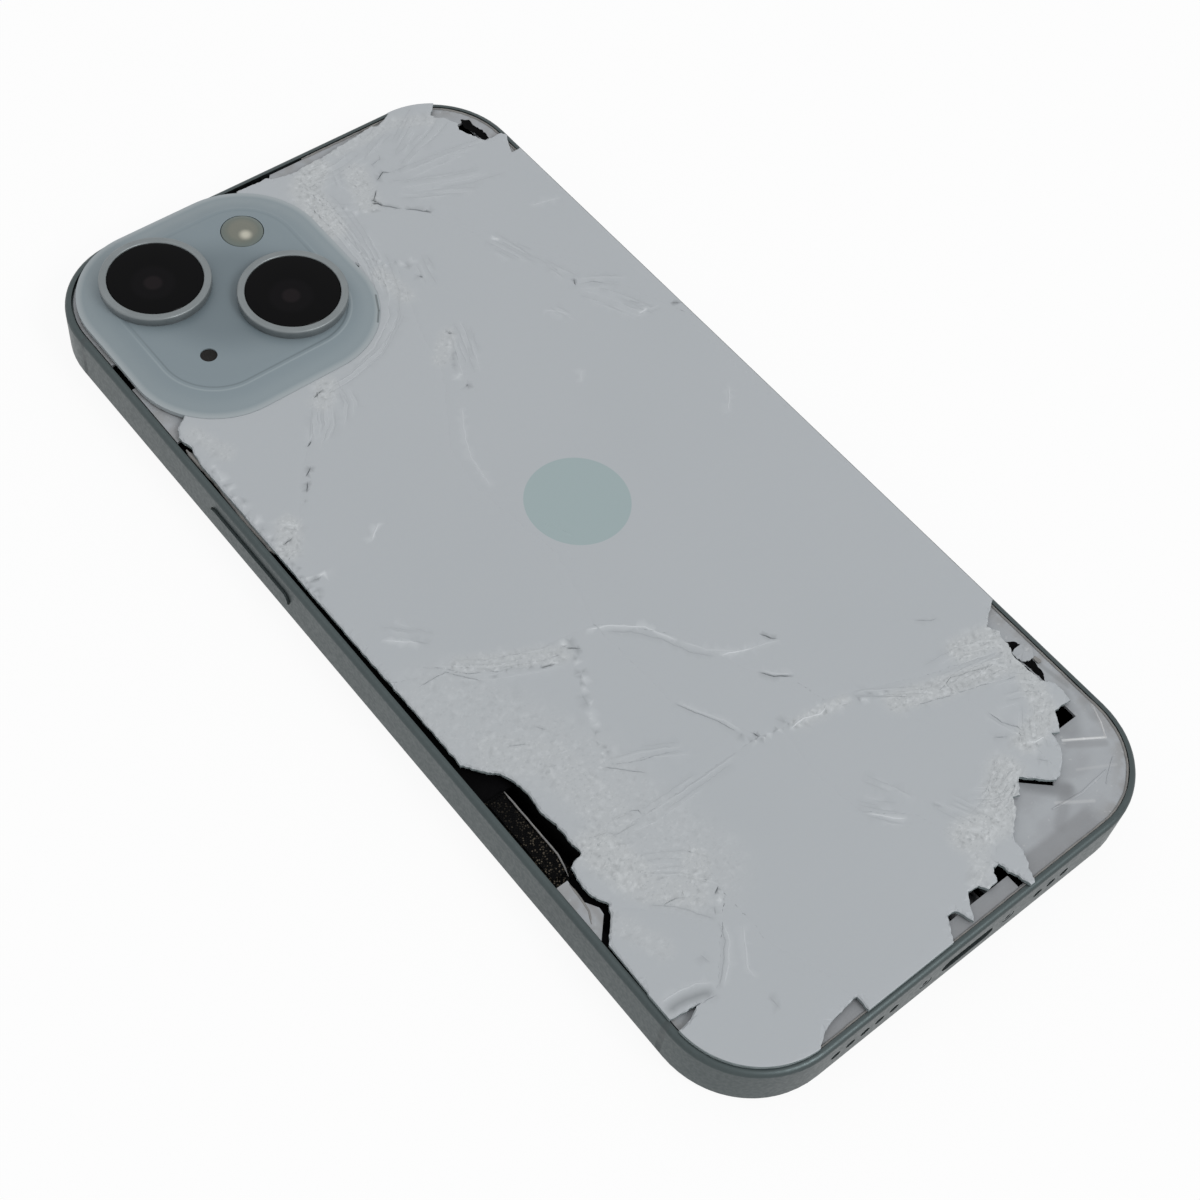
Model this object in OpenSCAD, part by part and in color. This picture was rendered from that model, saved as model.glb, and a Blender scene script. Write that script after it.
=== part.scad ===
// A slim smartphone lying on its display, with its rear glass shattered.
// +X is to the right and +Y towards the camera end, seen from behind. +Z points out of the back.
// The origin is on the display face, under the middle of the frame. All sizes are in millimetres.

/* [Body] */
// Width of the frame
body_w = 71.5; // [68:0.5:88]
// Length of the frame
body_l = 146.7; // [140:0.1:180]
// Height of the metal frame's rear rim above the display face
frame_top = 7.6; // [7.3:0.1:9.2]
// Radius of the outline's corners
corner_r = 12.4; // [10:0.1:15]
// Rounding of the frame's outer edges
edge_r = 0.7; // [0.4:0.1:0.8]
// Thickness of the side walls
wall = 2.2; // [1.9:0.1:2.8]
// Width of the thin rim round each pane
rim_w = 0.9; // [0.8:0.05:1.2]
// Thickness of the floor between the display and the inside
floor_t = 0.6; // [0.4:0.1:0.9]

/* [Display] */
// Thickness of the display glass
display_glass_t = 0.7; // [0.5:0.1:1]
// Thickness of the display panel and its seal
panel_t = 1.0; // [0.7:0.1:1.4]
// How far the display glass stands out of the frame
display_proud = 0.2; // [0.1:0.05:0.4]

/* [Rear glass] */
// Thickness of the rear glass
glass_t = 0.7; // [0.5:0.05:1]
// Thickness of the bond between the glass and the backing plate
bond_t = 0.3; // [0.2:0.05:0.5]
// Thickness of the backing plate
plate_t = 0.4; // [0.3:0.05:0.6]
// Distance from the frame's outside to the edge of the rear glass
pane_inset = 0.85; // [0.7:0.05:1.2]
// Width of the cracks between the large shards
crack_w = 0.08; // [0.04:0.01:0.2]

/* [Camera] */
// Side of the square camera plateau at its foot
plateau_size = 36; // [33:0.5:38]
// Corner radius of the plateau at its foot
plateau_r = 12; // [9:0.5:13]
// Height of the plateau above the rear glass
plateau_rise = 1.1; // [0.6:0.1:1.6]
// Width of the slope round the plateau's top
plateau_slope = 2.6; // [1:0.2:4]
// Outer radius of a lens ring
ring_r = 7.5; // [6.5:0.1:8.2]
// Radius of a lens cover
lens_cover_r = 6.4; // [5.4:0.1:6.6]
// Height of a lens ring above the plateau
ring_rise = 1.5; // [0.8:0.1:2]
// Radius of a moving lens barrel
barrel_r = 4.6; // [3.5:0.1:5]
// Focus travel of a lens barrel
focus_travel = 0.3; // [0.1:0.05:0.4]
// Radius of the flash lens
flash_r = 2.9; // [2:0.1:3.2]

/* [Buttons] */
// Length of the side button
side_button_len = 17.5; // [12:0.5:20]
// Place of the side button along the left side
side_button_y = 20.8; // [10:0.2:28]
// Length of each volume button
volume_button_len = 10; // [8:0.5:11.5]
// Height of all the buttons
button_h = 2.4; // [1.8:0.1:2.8]
// How far the buttons stand out of the side
button_proud = 0.35; // [0.2:0.05:0.5]
// Travel of a button
button_travel = 0.35; // [0.2:0.05:0.4]
// Clearance round a button in its slot
button_gap = 0.1; // [0.05:0.01:0.15]
// Travel of the mute switch
mute_travel = 1.2; // [0.8:0.1:1.4]

/* [Card tray] */
// Length of the tray's face along the side
tray_len = 16; // [15:0.5:18]
// Height of the tray's face
tray_h = 2; // [1.6:0.1:2.4]
// How deep the tray reaches into the body
tray_depth = 15; // [14:0.5:17]

/* [Charging end] */
// Width of the charging slot
port_w = 8.4; // [7:0.1:9]
// Height of the charging slot
port_h = 2.5; // [2:0.1:2.6]
// Distance between the two end screws
end_screw_gap = 13.8; // [13:0.2:15]
// Radius of each sound hole
sound_hole_r = 0.7; // [0.5:0.05:0.9]
// Spacing of the sound holes
sound_hole_gap = 2.3; // [2:0.1:2.6]
// Number of loudspeaker holes
speaker_holes = 5; // [3:1:6]
// Number of microphone holes
mic_holes = 3; // [1:1:4]

/* [Hidden] */
$fn = 64;

// Overlap used where a cut passes right through
eps = 0.5;
// Clearance between pieces that lie beside each other
side_gap = 0.1;

// Heights
frame_z0 = display_proud;
floor_z0 = display_glass_t + panel_t;
floor_z = floor_z0 + floor_t;
plate_z = frame_top - bond_t;
plate_z0 = plate_z - plate_t;
glass_z0 = frame_top;
glass_top = glass_z0 + glass_t;
plateau_top = glass_top + plateau_rise;
ring_top = plateau_top + ring_rise;
mid_z = (floor_z + floor_z + 3) / 2;
channel_z = mid_z + button_h / 2 + 0.5;
foam_t = 0.8;

// Half sizes of the outline, of the space inside the rims and of the space inside the walls
half_w = body_w / 2;
half_l = body_l / 2;
rim_x = half_w - rim_w;
rim_y = half_l - rim_w;
wall_x = half_w - wall;
wall_y = half_l - wall;

// Places across and along the back are drawn on a body of this half width and half length. On any other body
// what lies near a side or an end keeps its distance from it, and only the middle stretches.
drawn_half_w = 35.75;
drawn_half_l = 73.35;
middle_x = [4, 20];
middle_y = [-38, 36];
function kept(v, middle, growth) = v < middle[0] ? v - growth : v > middle[1] ? v + growth :
    v + growth * (2 * (v - middle[0]) / (middle[1] - middle[0]) - 1);
function across(x) = kept(x, middle_x, half_w - drawn_half_w);
function along(y) = kept(y, middle_y, half_l - drawn_half_l);
function placed(points) = [for (p = points) [across(p.x), along(p.y)]];
// The same for a rectangle given as left, right, lower and upper edge
function placed_box(p) = [across(p[0]), across(p[1]), along(p[2]), along(p[3])];

// Camera places, measured from the frame's left side and top end
plateau_x = -half_w + 19.55;
plateau_y = half_l - 18.75;
lens_dx = 6.9;
lens_dy = 6.1;
lens_mid_y = plateau_y + 0.9;
lens_places = [[plateau_x - lens_dx, lens_mid_y + lens_dy], [plateau_x + lens_dx, lens_mid_y - lens_dy]];
flash_place = [plateau_x + 8.1, lens_mid_y + 8];
mic_place = [plateau_x - 7.9, lens_mid_y - 8.2];
housing = 13.6;
sleeve_r = lens_cover_r - 0.5;
cover_t = 0.5;

// Side controls, the right side's measured from the top end
mute_y = half_l - 26.85;
volume_up_y = mute_y - 12.5;
volume_down_y = volume_up_y - 12.5;
tray_y = 0;
flange_t = 0.5;
flange_margin = 1;
mute_lever_h = 1.5;
mute_lever_len = 5.4;
sim_l = 12.3;
sim_w = 8.8;
sim_t = 0.7;

// Corners of the large shards: one list of points round each of them. Points on shared cracks repeat.
left = -drawn_half_w - 1;
right = drawn_half_w + 1;
top = drawn_half_l + 2;
bottom = -drawn_half_l - 2;
crack_high = [[-14, 38], [-17, 32], [-25, 25], [-30, 18], [left, 12]];
crack_spine = [[2, 50], [6.5, 47.5], [5, 44], [2, 36], [0, 28], [-7, 17], [-8, 10], [-6, -4], [-9, -15]];
crack_right = [[1, 57], [10, 58], [15.5, 53.5], [20, 43.5], [25, 38], [33, 20], [right, 12]];
crack_top = [[10, 58], [12, 64], [13.5, top]];
crack_left = [[left, -6], [-32, -8], [-22, -13], [-14, -14], [-9, -15]];
crack_centre = [[-9, -15], [-6, -17], [-2, -22], [0, -26], [2, -31], [5.5, -35], [7, -40]];
crack_inner = [[-9, -15], [-8.5, -29], [-5, -35], [-3, -39]];
crack_low = [[-29, -38.6], [-20, -39], [-3, -39], [0, -40], [7, -40], [10, -41], [20, -45], [right, -50]];
crack_corner = [[-31.4, -45.6], [-27, -50], [-23, -55], [-28, -60], [left, -61.5]];
crack_knee = [[-20, -39], [-19, -45], [-20, -52], [-23, -55]];
crack_foot = [[-20, -52], [-20, -60], [-17.5, -66], [-17, -70], [-17, bottom]];
crack_heel = [[0, -40], [-1, -47], [0, -54], [5, -58], [7, -64], [8.4, -68.6]];
crack_east = [[20, -45], [22, -52], [23.5, -58], [23.5, -66]];
tooth = [[8.4, -68.6], [9.7, -66.9], [11.8, -66.8], [12.3, -67.4], [12.2, -69.4], [11, -71.6],
    [10.4, -72.9], [9.7, -72.9], [9.2, -71]];

// Missing parts of the rear glass
lost_left = [[left, 39], [-34.3, 38.8], [-33.9, 36.5], [-34.4, 33.5], [-34.4, 10], [-34.1, -16],
    [-34.1, -20.9], [-32.2, -23.6], [-31.2, -24.3], [-30.4, -26.2], [-30, -29.2], [-30.5, -31.2],
    [-30, -33.3], [-30, -38.3], [-32.1, -39], [-32.4, -42.8], [-31.4, -45.2], [-32, -46.2],
    [-34.6, -49], [-34.8, -57], [left, -57.5]];
lost_camera_side = [[left, 38.8], [-34.3, 38.8], [-33.4, 40.3], [-31.5, 41.5], [-20, 56], [-9, 71],
    [-9, top], [left, top]];
lost_wedge = [[left, -59.6], [-34.2, -60], [-31.3, -60.4], [-33, -61.1], [-34.6, -61.4], [left, -61.6]];
lost_top = [[-9, 72.4], [-4.5, 71.3], [1, 71.2], [1.8, 70.5], [5, 70], [8, 70.2], [12, 70.6],
    [16, 71.1], [19.5, 71.6], [20.3, 71], [23, 72.3], [23, top], [-9, top]];
lost_top_right = [[31, 71.5], [28.2, 68.7], [30.5, 65.3], [30, 64], [31.6, 60.1], [34.6, 60],
    [34.8, 59.4], [right, 59.4], [right, top]];
lost_chip_right = [[33.4, 56], [34.8, 59], [right, 59], [right, 56]];
lost_notch = [[-23.8, -72.4], [-22, -71.3], [-20, -70.8], [-18, -70.6], [-16.4, -70.5],
    [-16.4, bottom], [-23.8, bottom]];
lost_corner = [[-3, -72.6], [-1, -69.6], [0.2, -69.8], [0.9, -72], [3, -68.9], [4.6, -69.2],
    [5.3, -70.3], [6.7, -70], [7.7, -68.5], [8.4, -68.6], [9.7, -66.9], [11.8, -66.8], [12.3, -67.4],
    [14, -66], [15.5, -64.9], [16.5, -63.4], [17.3, -63.6], [19, -62], [22.2, -65], [23, -64.9],
    [25.1, -63.5], [26.2, -62], [26.7, -60], [27.7, -60.6], [28.2, -60], [29.4, -58.2], [31, -58.1],
    [32.2, -58.3], [32.4, -56.5], [32, -54.6], [31.2, -54], [31, -51.5], [30.9, -49.5], [31.7, -48],
    [31.6, -46.7], [32.2, -45.8], [31.4, -44.3], [34.7, -42], [right, -41.6], [right, bottom],
    [-3, bottom]];

// Openings in the backing plate
plate_opening_left = [[left, 38.8], [-27.5, 38.8], [-27.5, -43], [-30, -47], [-34, -50],
    [-34.2, -57], [left, -57]];
plate_opening_camera_side = [[left, 49.5], [-33.4, 49.5], [-33.4, 54.5], [left, 54.5]];
plate_opening_top = [[-14, top], [-14, 70.8], [1, 70.8], [2.6, 72.6], [2.6, top]];
plate_opening_slit = [[18.8, -62.3], [22, -65.2], [24, -63], [20.8, -60]];
plate_opening_bottom = [[-4, -70.2], [8.7, -70.2], [8.7, -72], [9.8, -72], [9.8, -62], [-4, -62]];
// Square openings in the plate: left, right, lower and upper edge
plate_windows = [[27.5, 31.8, 60.2, 65.6], [28.5, 31.7, -53.9, -51.1], [28.5, 31.8, -50.2, -47.8],
    [27, 31.5, -60.1, -56.5]];
clip_outline = [[-34.7, -39.8], [-33.1, -39.8], [-33.4, -42.8], [-32.3, -44.6], [-32.4, -45.5],
    [-34.7, -47.9]];
screw_x = wall_x - 0.9;
screw_places = [[screw_x, along(-49.6)], [screw_x, along(-20)], [screw_x, along(56.5)],
    [-screw_x, along(-54)], [-screw_x, along(59.2)]];
screw_boss_r = 1.2;

// Signed area of an outline, positive where its points run anticlockwise
function outline_area(points) = 0.5 * sum_of([for (i = [0:len(points) - 1])
    let (a = points[i], b = points[(i + 1) % len(points)]) a.x * b.y - b.x * a.y]);
function sum_of(values, i = 0) = i == len(values) ? 0 : values[i] + sum_of(values, i + 1);
function left_normal(a, b) = let (d = b - a) [-d.y, d.x] / norm(d);
// The same outline with every side moved inwards by d
function inset(points, d) = let (n = len(points), s = outline_area(points) > 0 ? d : -d)
    [for (i = [0:n - 1]) let (a = points[(i + n - 1) % n], b = points[i], c = points[(i + 1) % n],
        u = left_normal(a, b), v = left_normal(b, c)) b + s * (u + v) / (1 + u * v)];
function reversed(points) = [for (i = [len(points) - 1:-1:0]) points[i]];
function part_of(points, first, last) = [for (i = [first:last]) points[i]];

module rounded_rect(w, l, r) {
    square([w - 2 * r, l], center = true);
    square([w, l - 2 * r], center = true);
    for (x = [-1, 1], y = [-1, 1]) translate([x * (w / 2 - r), y * (l / 2 - r)]) circle(r);
}

// The body's outline, moved inwards
module outline(inwards) {
    rounded_rect(body_w - 2 * inwards, body_l - 2 * inwards, corner_r - inwards);
}

module slab(z0, z1) {
    translate([0, 0, z0]) linear_extrude(z1 - z0) children();
}

// A rectangle given as left, right, lower and upper edge
module rectangle(p) {
    translate([p[0], p[2]]) square([p[1] - p[0], p[3] - p[2]]);
}

// A block between two corners
module block(low, high) {
    translate(low) cube(high - low);
}

// A pill lying along Y, extruded towards +X from the side plane
module side_pill(length, height, depth) {
    rotate([90, 0, 90]) linear_extrude(depth) {
        square([length - height, height], center = true);
        for (y = [-1, 1]) translate([y * (length - height) / 2, 0]) circle(height / 2);
    }
}

// A pill lying along X, extruded towards +Y
module end_pill(length, height, depth) {
    rotate([90, 0, 0]) translate([0, 0, -depth]) linear_extrude(depth) {
        square([length - height, height], center = true);
        for (x = [-1, 1]) translate([x * (length - height) / 2, 0]) circle(height / 2);
    }
}

// A hole bored along +Y from the charging end
module end_bore(x, r, depth) {
    translate([x, -half_l - eps, mid_z]) rotate([-90, 0, 0]) cylinder(h = depth + eps, r = r);
}

// Section through a side wall, with x measured from a corner's centre
module wall_section() {
    translate([corner_r - rim_w, frame_z0]) square([rim_w - edge_r, frame_top - frame_z0]);
    translate([corner_r - edge_r, frame_z0 + edge_r]) square([edge_r, frame_top - frame_z0 - 2 * edge_r]);
    for (z = [frame_z0 + edge_r, frame_top - edge_r]) intersection() {
        translate([corner_r - edge_r, z]) circle(edge_r);
        translate([corner_r - edge_r, z - edge_r]) square([edge_r, 2 * edge_r]);
    }
    translate([corner_r - wall, floor_z0]) square([wall - edge_r, plate_z0 - floor_z0]);
}

// The section carried round the whole outline
module wall_ring() {
    cx = half_w - corner_r;
    cy = half_l - corner_r;
    for (x = [-1, 1], y = [-1, 1]) translate([x * cx, y * cy, 0]) intersection() {
        rotate_extrude() wall_section();
        translate([x > 0 ? 0 : -body_w, y > 0 ? 0 : -body_w, 0]) cube([body_w, body_w, frame_top + 1]);
    }
    for (a = [0, 180]) rotate([0, 0, a]) {
        translate([cx, cy, 0]) rotate([90, 0, 0]) linear_extrude(2 * cy) wall_section();
        translate([-cx, cy, 0]) rotate([90, 0, 90]) linear_extrude(2 * cx) wall_section();
    }
}

band_w = 0.9;
band_y = half_l - 13.35;
module band_cuts() {
    for (x = [-1, 1], y = [-1, 1]) translate([x * half_w, y * band_y, frame_top / 2])
        cube([2 * wall + 1, band_w, 2 * frame_top], center = true);
}

speaker_x = -16.6;
mic_x = 14.3;
module sound_holes(x, count) {
    for (i = [0:count - 1]) end_bore(x + (i - (count - 1) / 2) * sound_hole_gap, sound_hole_r, wall + eps);
}

channel_low = along(-39.6);
channel_high = along(57);
top_channel = [across(-14), across(3)];
head_r = 0.85;
head_t = 0.8;
shank_r = 0.55;
shank_len = 4.5;

module frame() color([0.36, 0.41, 0.42]) difference() {
    union() {
        wall_ring();
        slab(floor_z0, floor_z) outline(wall - 0.2);
        for (p = screw_places) translate([p.x, p.y, floor_z - 0.1])
            cylinder(h = plate_z0 - floor_z + 0.1, r = screw_boss_r);
    }
    band_cuts();
    translate([-half_w - eps, side_button_y, mid_z])
        side_pill(side_button_len + 2 * button_gap, button_h + 2 * button_gap, wall + 2 * eps);
    for (y = [volume_up_y, volume_down_y]) translate([wall_x - eps, y, mid_z])
        side_pill(volume_button_len + 2 * button_gap, button_h + 2 * button_gap, wall + 2 * eps);
    mute_slot = mute_lever_h + mute_travel + 2 * button_gap;
    block([wall_x - eps, mute_y - mute_lever_len / 2 - button_gap, mid_z - mute_slot / 2],
        [half_w + eps, mute_y + mute_lever_len / 2 + button_gap, mid_z + mute_slot / 2]);
    translate([wall_x - eps, tray_y, mid_z])
        side_pill(tray_len + 2 * side_gap, tray_h + 2 * side_gap, wall + 2 * eps);
    translate([0, -half_l - eps, mid_z]) end_pill(port_w, port_h, wall + 2 * eps);
    sound_holes(speaker_x, speaker_holes);
    sound_holes(mic_x, mic_holes);
    for (x = [-1, 1]) {
        end_bore(x * end_screw_gap / 2, head_r + 0.1, head_t);
        end_bore(x * end_screw_gap / 2, shank_r + 0.1, wall + eps);
    }
    block([-rim_x, channel_low, channel_z], [-wall_x + eps, channel_high, frame_top]);
    block([top_channel.x, wall_y - eps, channel_z], [top_channel.y, rim_y, frame_top]);
    for (p = screw_places) translate([p.x, p.y, plate_z0 - 1.6]) cylinder(h = 2, r = 0.5);
}

module antenna_bands() color([0.30, 0.34, 0.35]) intersection() {
    wall_ring();
    band_cuts();
}

module display_glass() color([0.03, 0.03, 0.035]) slab(0, display_glass_t) outline(rim_w + side_gap);

seal_w = 0.8;
module display_panel() color([0.1, 0.1, 0.11])
    slab(display_glass_t, floor_z0) outline(rim_w + seal_w + 2 * side_gap);

module display_seal() color([0.05, 0.05, 0.05]) slab(display_glass_t, floor_z0) difference() {
    outline(rim_w + side_gap);
    outline(rim_w + side_gap + seal_w);
}

module camera_windows() {
    for (p = lens_places) translate(p) square(housing + 0.4, center = true);
}

module backing_plate() color([0.63, 0.64, 0.65]) slab(plate_z0, plate_z) difference() {
    outline(rim_w + 0.25);
    polygon(placed(plate_opening_left));
    polygon(placed(plate_opening_camera_side));
    polygon(placed(plate_opening_top));
    polygon(placed(plate_opening_slit));
    polygon(placed(plate_opening_bottom));
    for (p = plate_windows) rectangle(placed_box(p));
    camera_windows();
    translate(mic_place) circle(0.6);
    for (p = screw_places) translate(p) circle(0.5);
}

// Pads of bonding film: left, right, lower and upper edge
adhesive_pads = [[-24, -14, -36, 24], [-10, 22, -36, 34], [4, 26, 38, 56], [-24, -6, -60, -42],
    [2, 18, -58, -43], [-31.5, -28, 26, 34]];
module rear_adhesive() color([0.2, 0.2, 0.2]) slab(plate_z, glass_z0)
    for (p = adhesive_pads) rectangle(placed_box(p));

foam_x = lens_places[0].x - housing / 2 - 0.4;
module edge_foam() color([0.02, 0.02, 0.02]) {
    block([-rim_x, module_high + side_gap, channel_z], [foam_x, channel_high, channel_z + foam_t]);
    block([-wall_x + side_gap, channel_low - 8.9, channel_z], [foam_x, channel_low, channel_z + foam_t]);
    block([top_channel.x, wall_y - 1.95, channel_z], [top_channel.y, rim_y, channel_z + foam_t]);
}

module_low = channel_low + side_gap;
module_high = module_low + 13.5;
module antenna_module() color([0.04, 0.04, 0.045]) {
    block([-rim_x, module_low, channel_z], [-wall_x + 1.95, module_high, channel_z + 1.1]);
    block([-wall_x - 0.75, module_low + 0.8, channel_z + 1.1],
        [-wall_x + 1.45, module_high - 0.6, channel_z + 1.4]);
}

module antenna_clip() color([0.62, 0.63, 0.64]) slab(plate_z0, plate_z) polygon(placed(clip_outline));

// The rear glass that is left, before its cracks part it
module pane() difference() {
    outline(pane_inset);
    translate([plateau_x, plateau_y])
        rounded_rect(plateau_size + crack_w, plateau_size + crack_w, plateau_r + crack_w / 2);
    polygon(placed(lost_left));
    polygon(placed(lost_camera_side));
    polygon(placed(lost_wedge));
    polygon(placed(lost_top));
    polygon(placed(lost_top_right));
    polygon(placed(lost_chip_right));
    polygon(placed(lost_notch));
    polygon(placed(lost_corner));
}

module shard(corners) color([0.67, 0.69, 0.70]) slab(glass_z0, glass_top) intersection() {
    pane();
    polygon(inset(placed(corners), crack_w / 2));
}

module glass_upper_left() shard(concat(crack_high, [[left, 45], [-14, 45]]));
module glass_centre_left() shard(concat(reversed(crack_high), crack_spine, reversed(part_of(crack_left, 0, 3))));
module glass_centre_right() shard(concat(crack_spine, part_of(crack_centre, 1, 6),
    part_of(crack_low, 5, 7), reversed(crack_right)));
module glass_top_middle() shard(concat([[-4, 57]], [crack_right[0]], crack_top, [[-4, top]]));
module glass_top_right() shard(concat(reversed(crack_top), part_of(crack_right, 2, 6), [[right, top]]));
module glass_left_middle() shard(concat(crack_left, part_of(crack_inner, 1, 3),
    [crack_low[1], crack_low[0], [left, -38.6]]));
module glass_centre_wedge() shard(concat(crack_centre, [crack_low[3]], reversed(part_of(crack_inner, 1, 3))));
module glass_left_small() shard(concat([[left, -44]], crack_corner));
module glass_lower_left() shard(concat([crack_low[0]], crack_knee, [crack_corner[1], crack_corner[0],
    [-34, -44], [-34, -38.6]]));
module glass_bottom_left() shard(concat([[left, -61.5], [-28, -60]], [crack_knee[3]], crack_foot,
    [[left, bottom]]));
module glass_bottom_middle() shard(concat([crack_low[1], crack_low[2]], crack_heel,
    [[9, bottom]], reversed(crack_foot), [crack_knee[1]]));
module glass_bottom_right() shard(concat(part_of(crack_low, 3, 6), part_of(crack_east, 1, 3),
    [[23.5, bottom], [12.3, bottom], [12.3, -67.4], [11.8, -66.8], [9.7, -66.9]],
    reversed(part_of(crack_heel, 1, 5))));
module glass_right_lower() shard(concat([[right, -50]], [[right, -66]], reversed(crack_east)));
module glass_tooth() color([0.67, 0.69, 0.70])
    slab(glass_z0, glass_top) polygon(inset(placed(tooth), crack_w / 2));

module camera_plateau() color([0.52, 0.57, 0.60]) difference() {
    translate([plateau_x, plateau_y, 0]) hull() {
        slab(glass_z0, glass_top) rounded_rect(plateau_size, plateau_size, plateau_r);
        slab(glass_z0, plateau_top) rounded_rect(plateau_size - 2 * plateau_slope,
            plateau_size - 2 * plateau_slope, plateau_r - plateau_slope);
    }
    for (p = lens_places) translate([p.x, p.y, glass_z0 - eps])
        cylinder(h = plateau_top - glass_z0 + 2 * eps, r = lens_cover_r + side_gap);
    translate([flash_place.x, flash_place.y, glass_z0 - eps])
        cylinder(h = plateau_top - glass_z0 + 2 * eps, r = flash_r + side_gap);
    translate([mic_place.x, mic_place.y, glass_z0 - eps])
        cylinder(h = plateau_top - glass_z0 + 2 * eps, r = 0.7);
}

cover_z0 = ring_top - 0.1 - cover_t;
module lens_ring(p) color([0.55, 0.57, 0.58]) translate([p.x, p.y, 0]) rotate_extrude() {
    polygon([[sleeve_r, glass_z0], [lens_cover_r, glass_z0], [lens_cover_r, plateau_top],
        [ring_r, plateau_top], [ring_r, ring_top - 0.4], [ring_r - 0.4, ring_top],
        [lens_cover_r + 0.05, ring_top], [lens_cover_r + 0.05, cover_z0], [sleeve_r, cover_z0]]);
}
module lens_ring_upper() lens_ring(lens_places[0]);
module lens_ring_lower() lens_ring(lens_places[1]);

module lens_cover(p) color([0.05, 0.05, 0.055]) translate([p.x, p.y, cover_z0])
    cylinder(h = cover_t, r = lens_cover_r);
module lens_cover_upper() lens_cover(lens_places[0]);
module lens_cover_lower() lens_cover(lens_places[1]);

barrel_z0 = floor_z + 1.6;
barrel_top = cover_z0 - focus_travel - 0.5;
barrel_gap = 0.2;
module lens_barrel(p) color([0.03, 0.03, 0.035]) translate([p.x, p.y, 0]) rotate_extrude()
    polygon([[0, barrel_z0], [barrel_r, barrel_z0], [barrel_r, barrel_top], [2.6, barrel_top],
        [1.8, barrel_top - 1.2], [0, barrel_top - 1.2]]);
module lens_barrel_upper() lens_barrel(lens_places[0]);
module lens_barrel_lower() lens_barrel(lens_places[1]);

module camera_module() color([0.25, 0.26, 0.27]) difference() {
    slab(floor_z, plate_z) intersection() {
        outline(wall + side_gap);
        for (p = lens_places) translate(p) square(housing, center = true);
    }
    for (p = lens_places) translate([p.x, p.y, barrel_z0 - side_gap])
        cylinder(h = plate_z - barrel_z0 + 1, r = barrel_r + barrel_gap);
}

module flash_lens() color([0.66, 0.65, 0.60]) translate([flash_place.x, flash_place.y, 0]) rotate_extrude()
    polygon([[0, glass_top - 0.1], [flash_r, glass_top - 0.1], [flash_r, plateau_top - 0.1],
        [flash_r - 0.3, plateau_top + 0.1], [0, plateau_top + 0.1]]);

module flash_led() color([0.85, 0.75, 0.35]) translate([flash_place.x, flash_place.y, plate_z]) {
    cylinder(h = 0.5, r = 2.4);
    translate([-1, -1, 0]) cube([2, 2, glass_top - 0.2 - plate_z]);
}

module rear_microphone() color([0.6, 0.58, 0.5]) translate([mic_place.x, mic_place.y, 0]) difference() {
    block([-1.9, -1.5, plate_z0 - 1.1], [1.9, 1.5, plate_z0]);
    translate([0, 0, plate_z0 - 0.7]) cylinder(h = 1, r = 0.4);
}

// A captive push button on the left side: its cap passes through the wall and a flange holds it in
module push_button(length) {
    translate([-half_w - button_proud, 0, mid_z]) side_pill(length, button_h, wall + button_proud + 0.05);
    block([-wall_x + 0.05, -length / 2 - flange_margin, mid_z - button_h / 2 - 0.2],
        [-wall_x + 0.05 + flange_t, length / 2 + flange_margin, mid_z + button_h / 2 + 0.2]);
}

// Strip of dome switches standing behind a row of buttons on the left side
module switch_strip(low, high, domes) {
    x0 = -wall_x + 0.1 + flange_t + button_travel;
    block([x0 + 0.3, low, floor_z], [x0 + 1, high, mid_z + button_h / 2]);
    for (y = domes) translate([x0, y, mid_z]) rotate([0, 90, 0]) cylinder(h = 0.5, r = 1);
}

module side_button() color([0.42, 0.47, 0.48]) translate([0, side_button_y, 0]) push_button(side_button_len);
module side_button_switch() color([0.3, 0.22, 0.08])
    switch_strip(side_button_y - 10.5, side_button_y + 10.5, [side_button_y]);
module volume_up_button() color([0.42, 0.47, 0.48])
    mirror([1, 0, 0]) translate([0, volume_up_y, 0]) push_button(volume_button_len);
module volume_down_button() color([0.42, 0.47, 0.48])
    mirror([1, 0, 0]) translate([0, volume_down_y, 0]) push_button(volume_button_len);
module volume_switches() color([0.3, 0.22, 0.08])
    mirror([1, 0, 0]) switch_strip(volume_down_y - 6.5, mute_y + 4, [volume_down_y, volume_up_y]);

mute_z = mid_z - mute_travel / 2;
module mute_switch() color([0.42, 0.47, 0.48]) {
    block([wall_x - 0.05, mute_y - mute_lever_len / 2, mute_z - mute_lever_h / 2],
        [half_w - 0.3, mute_y + mute_lever_len / 2, mute_z + mute_lever_h / 2]);
    block([wall_x - 0.05 - flange_t, mute_y - mute_lever_len / 2 - 0.8, mute_z - mute_lever_h / 2],
        [wall_x - 0.05, mute_y + mute_lever_len / 2 + 0.8, mute_z + mute_lever_h / 2]);
}

tray_t = 1.2;
tray_w = sim_l + 2;
pocket_x = half_w - tray_depth + 1.2;
module sim_tray() color([0.42, 0.47, 0.48]) difference() {
    union() {
        translate([wall_x, tray_y, mid_z]) side_pill(tray_len, tray_h, wall);
        block([half_w - tray_depth, tray_y - tray_w / 2, mid_z - tray_t / 2],
            [wall_x + 0.1, tray_y + tray_w / 2, mid_z + tray_t / 2]);
    }
    block([pocket_x, tray_y - sim_l / 2 - side_gap, mid_z + tray_t / 2 - sim_t],
        [pocket_x + sim_w + 2 * side_gap, tray_y + sim_l / 2 + side_gap, mid_z + tray_t]);
    block([pocket_x + 1, tray_y - sim_l / 2 + 1, mid_z - tray_t],
        [pocket_x + sim_w - 1, tray_y + sim_l / 2 - 1, mid_z + tray_t]);
    translate([wall_x - 0.5, tray_y - tray_len / 2 + 1.6, mid_z]) rotate([0, 90, 0])
        cylinder(h = wall + 1, r = 0.45);
}

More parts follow.
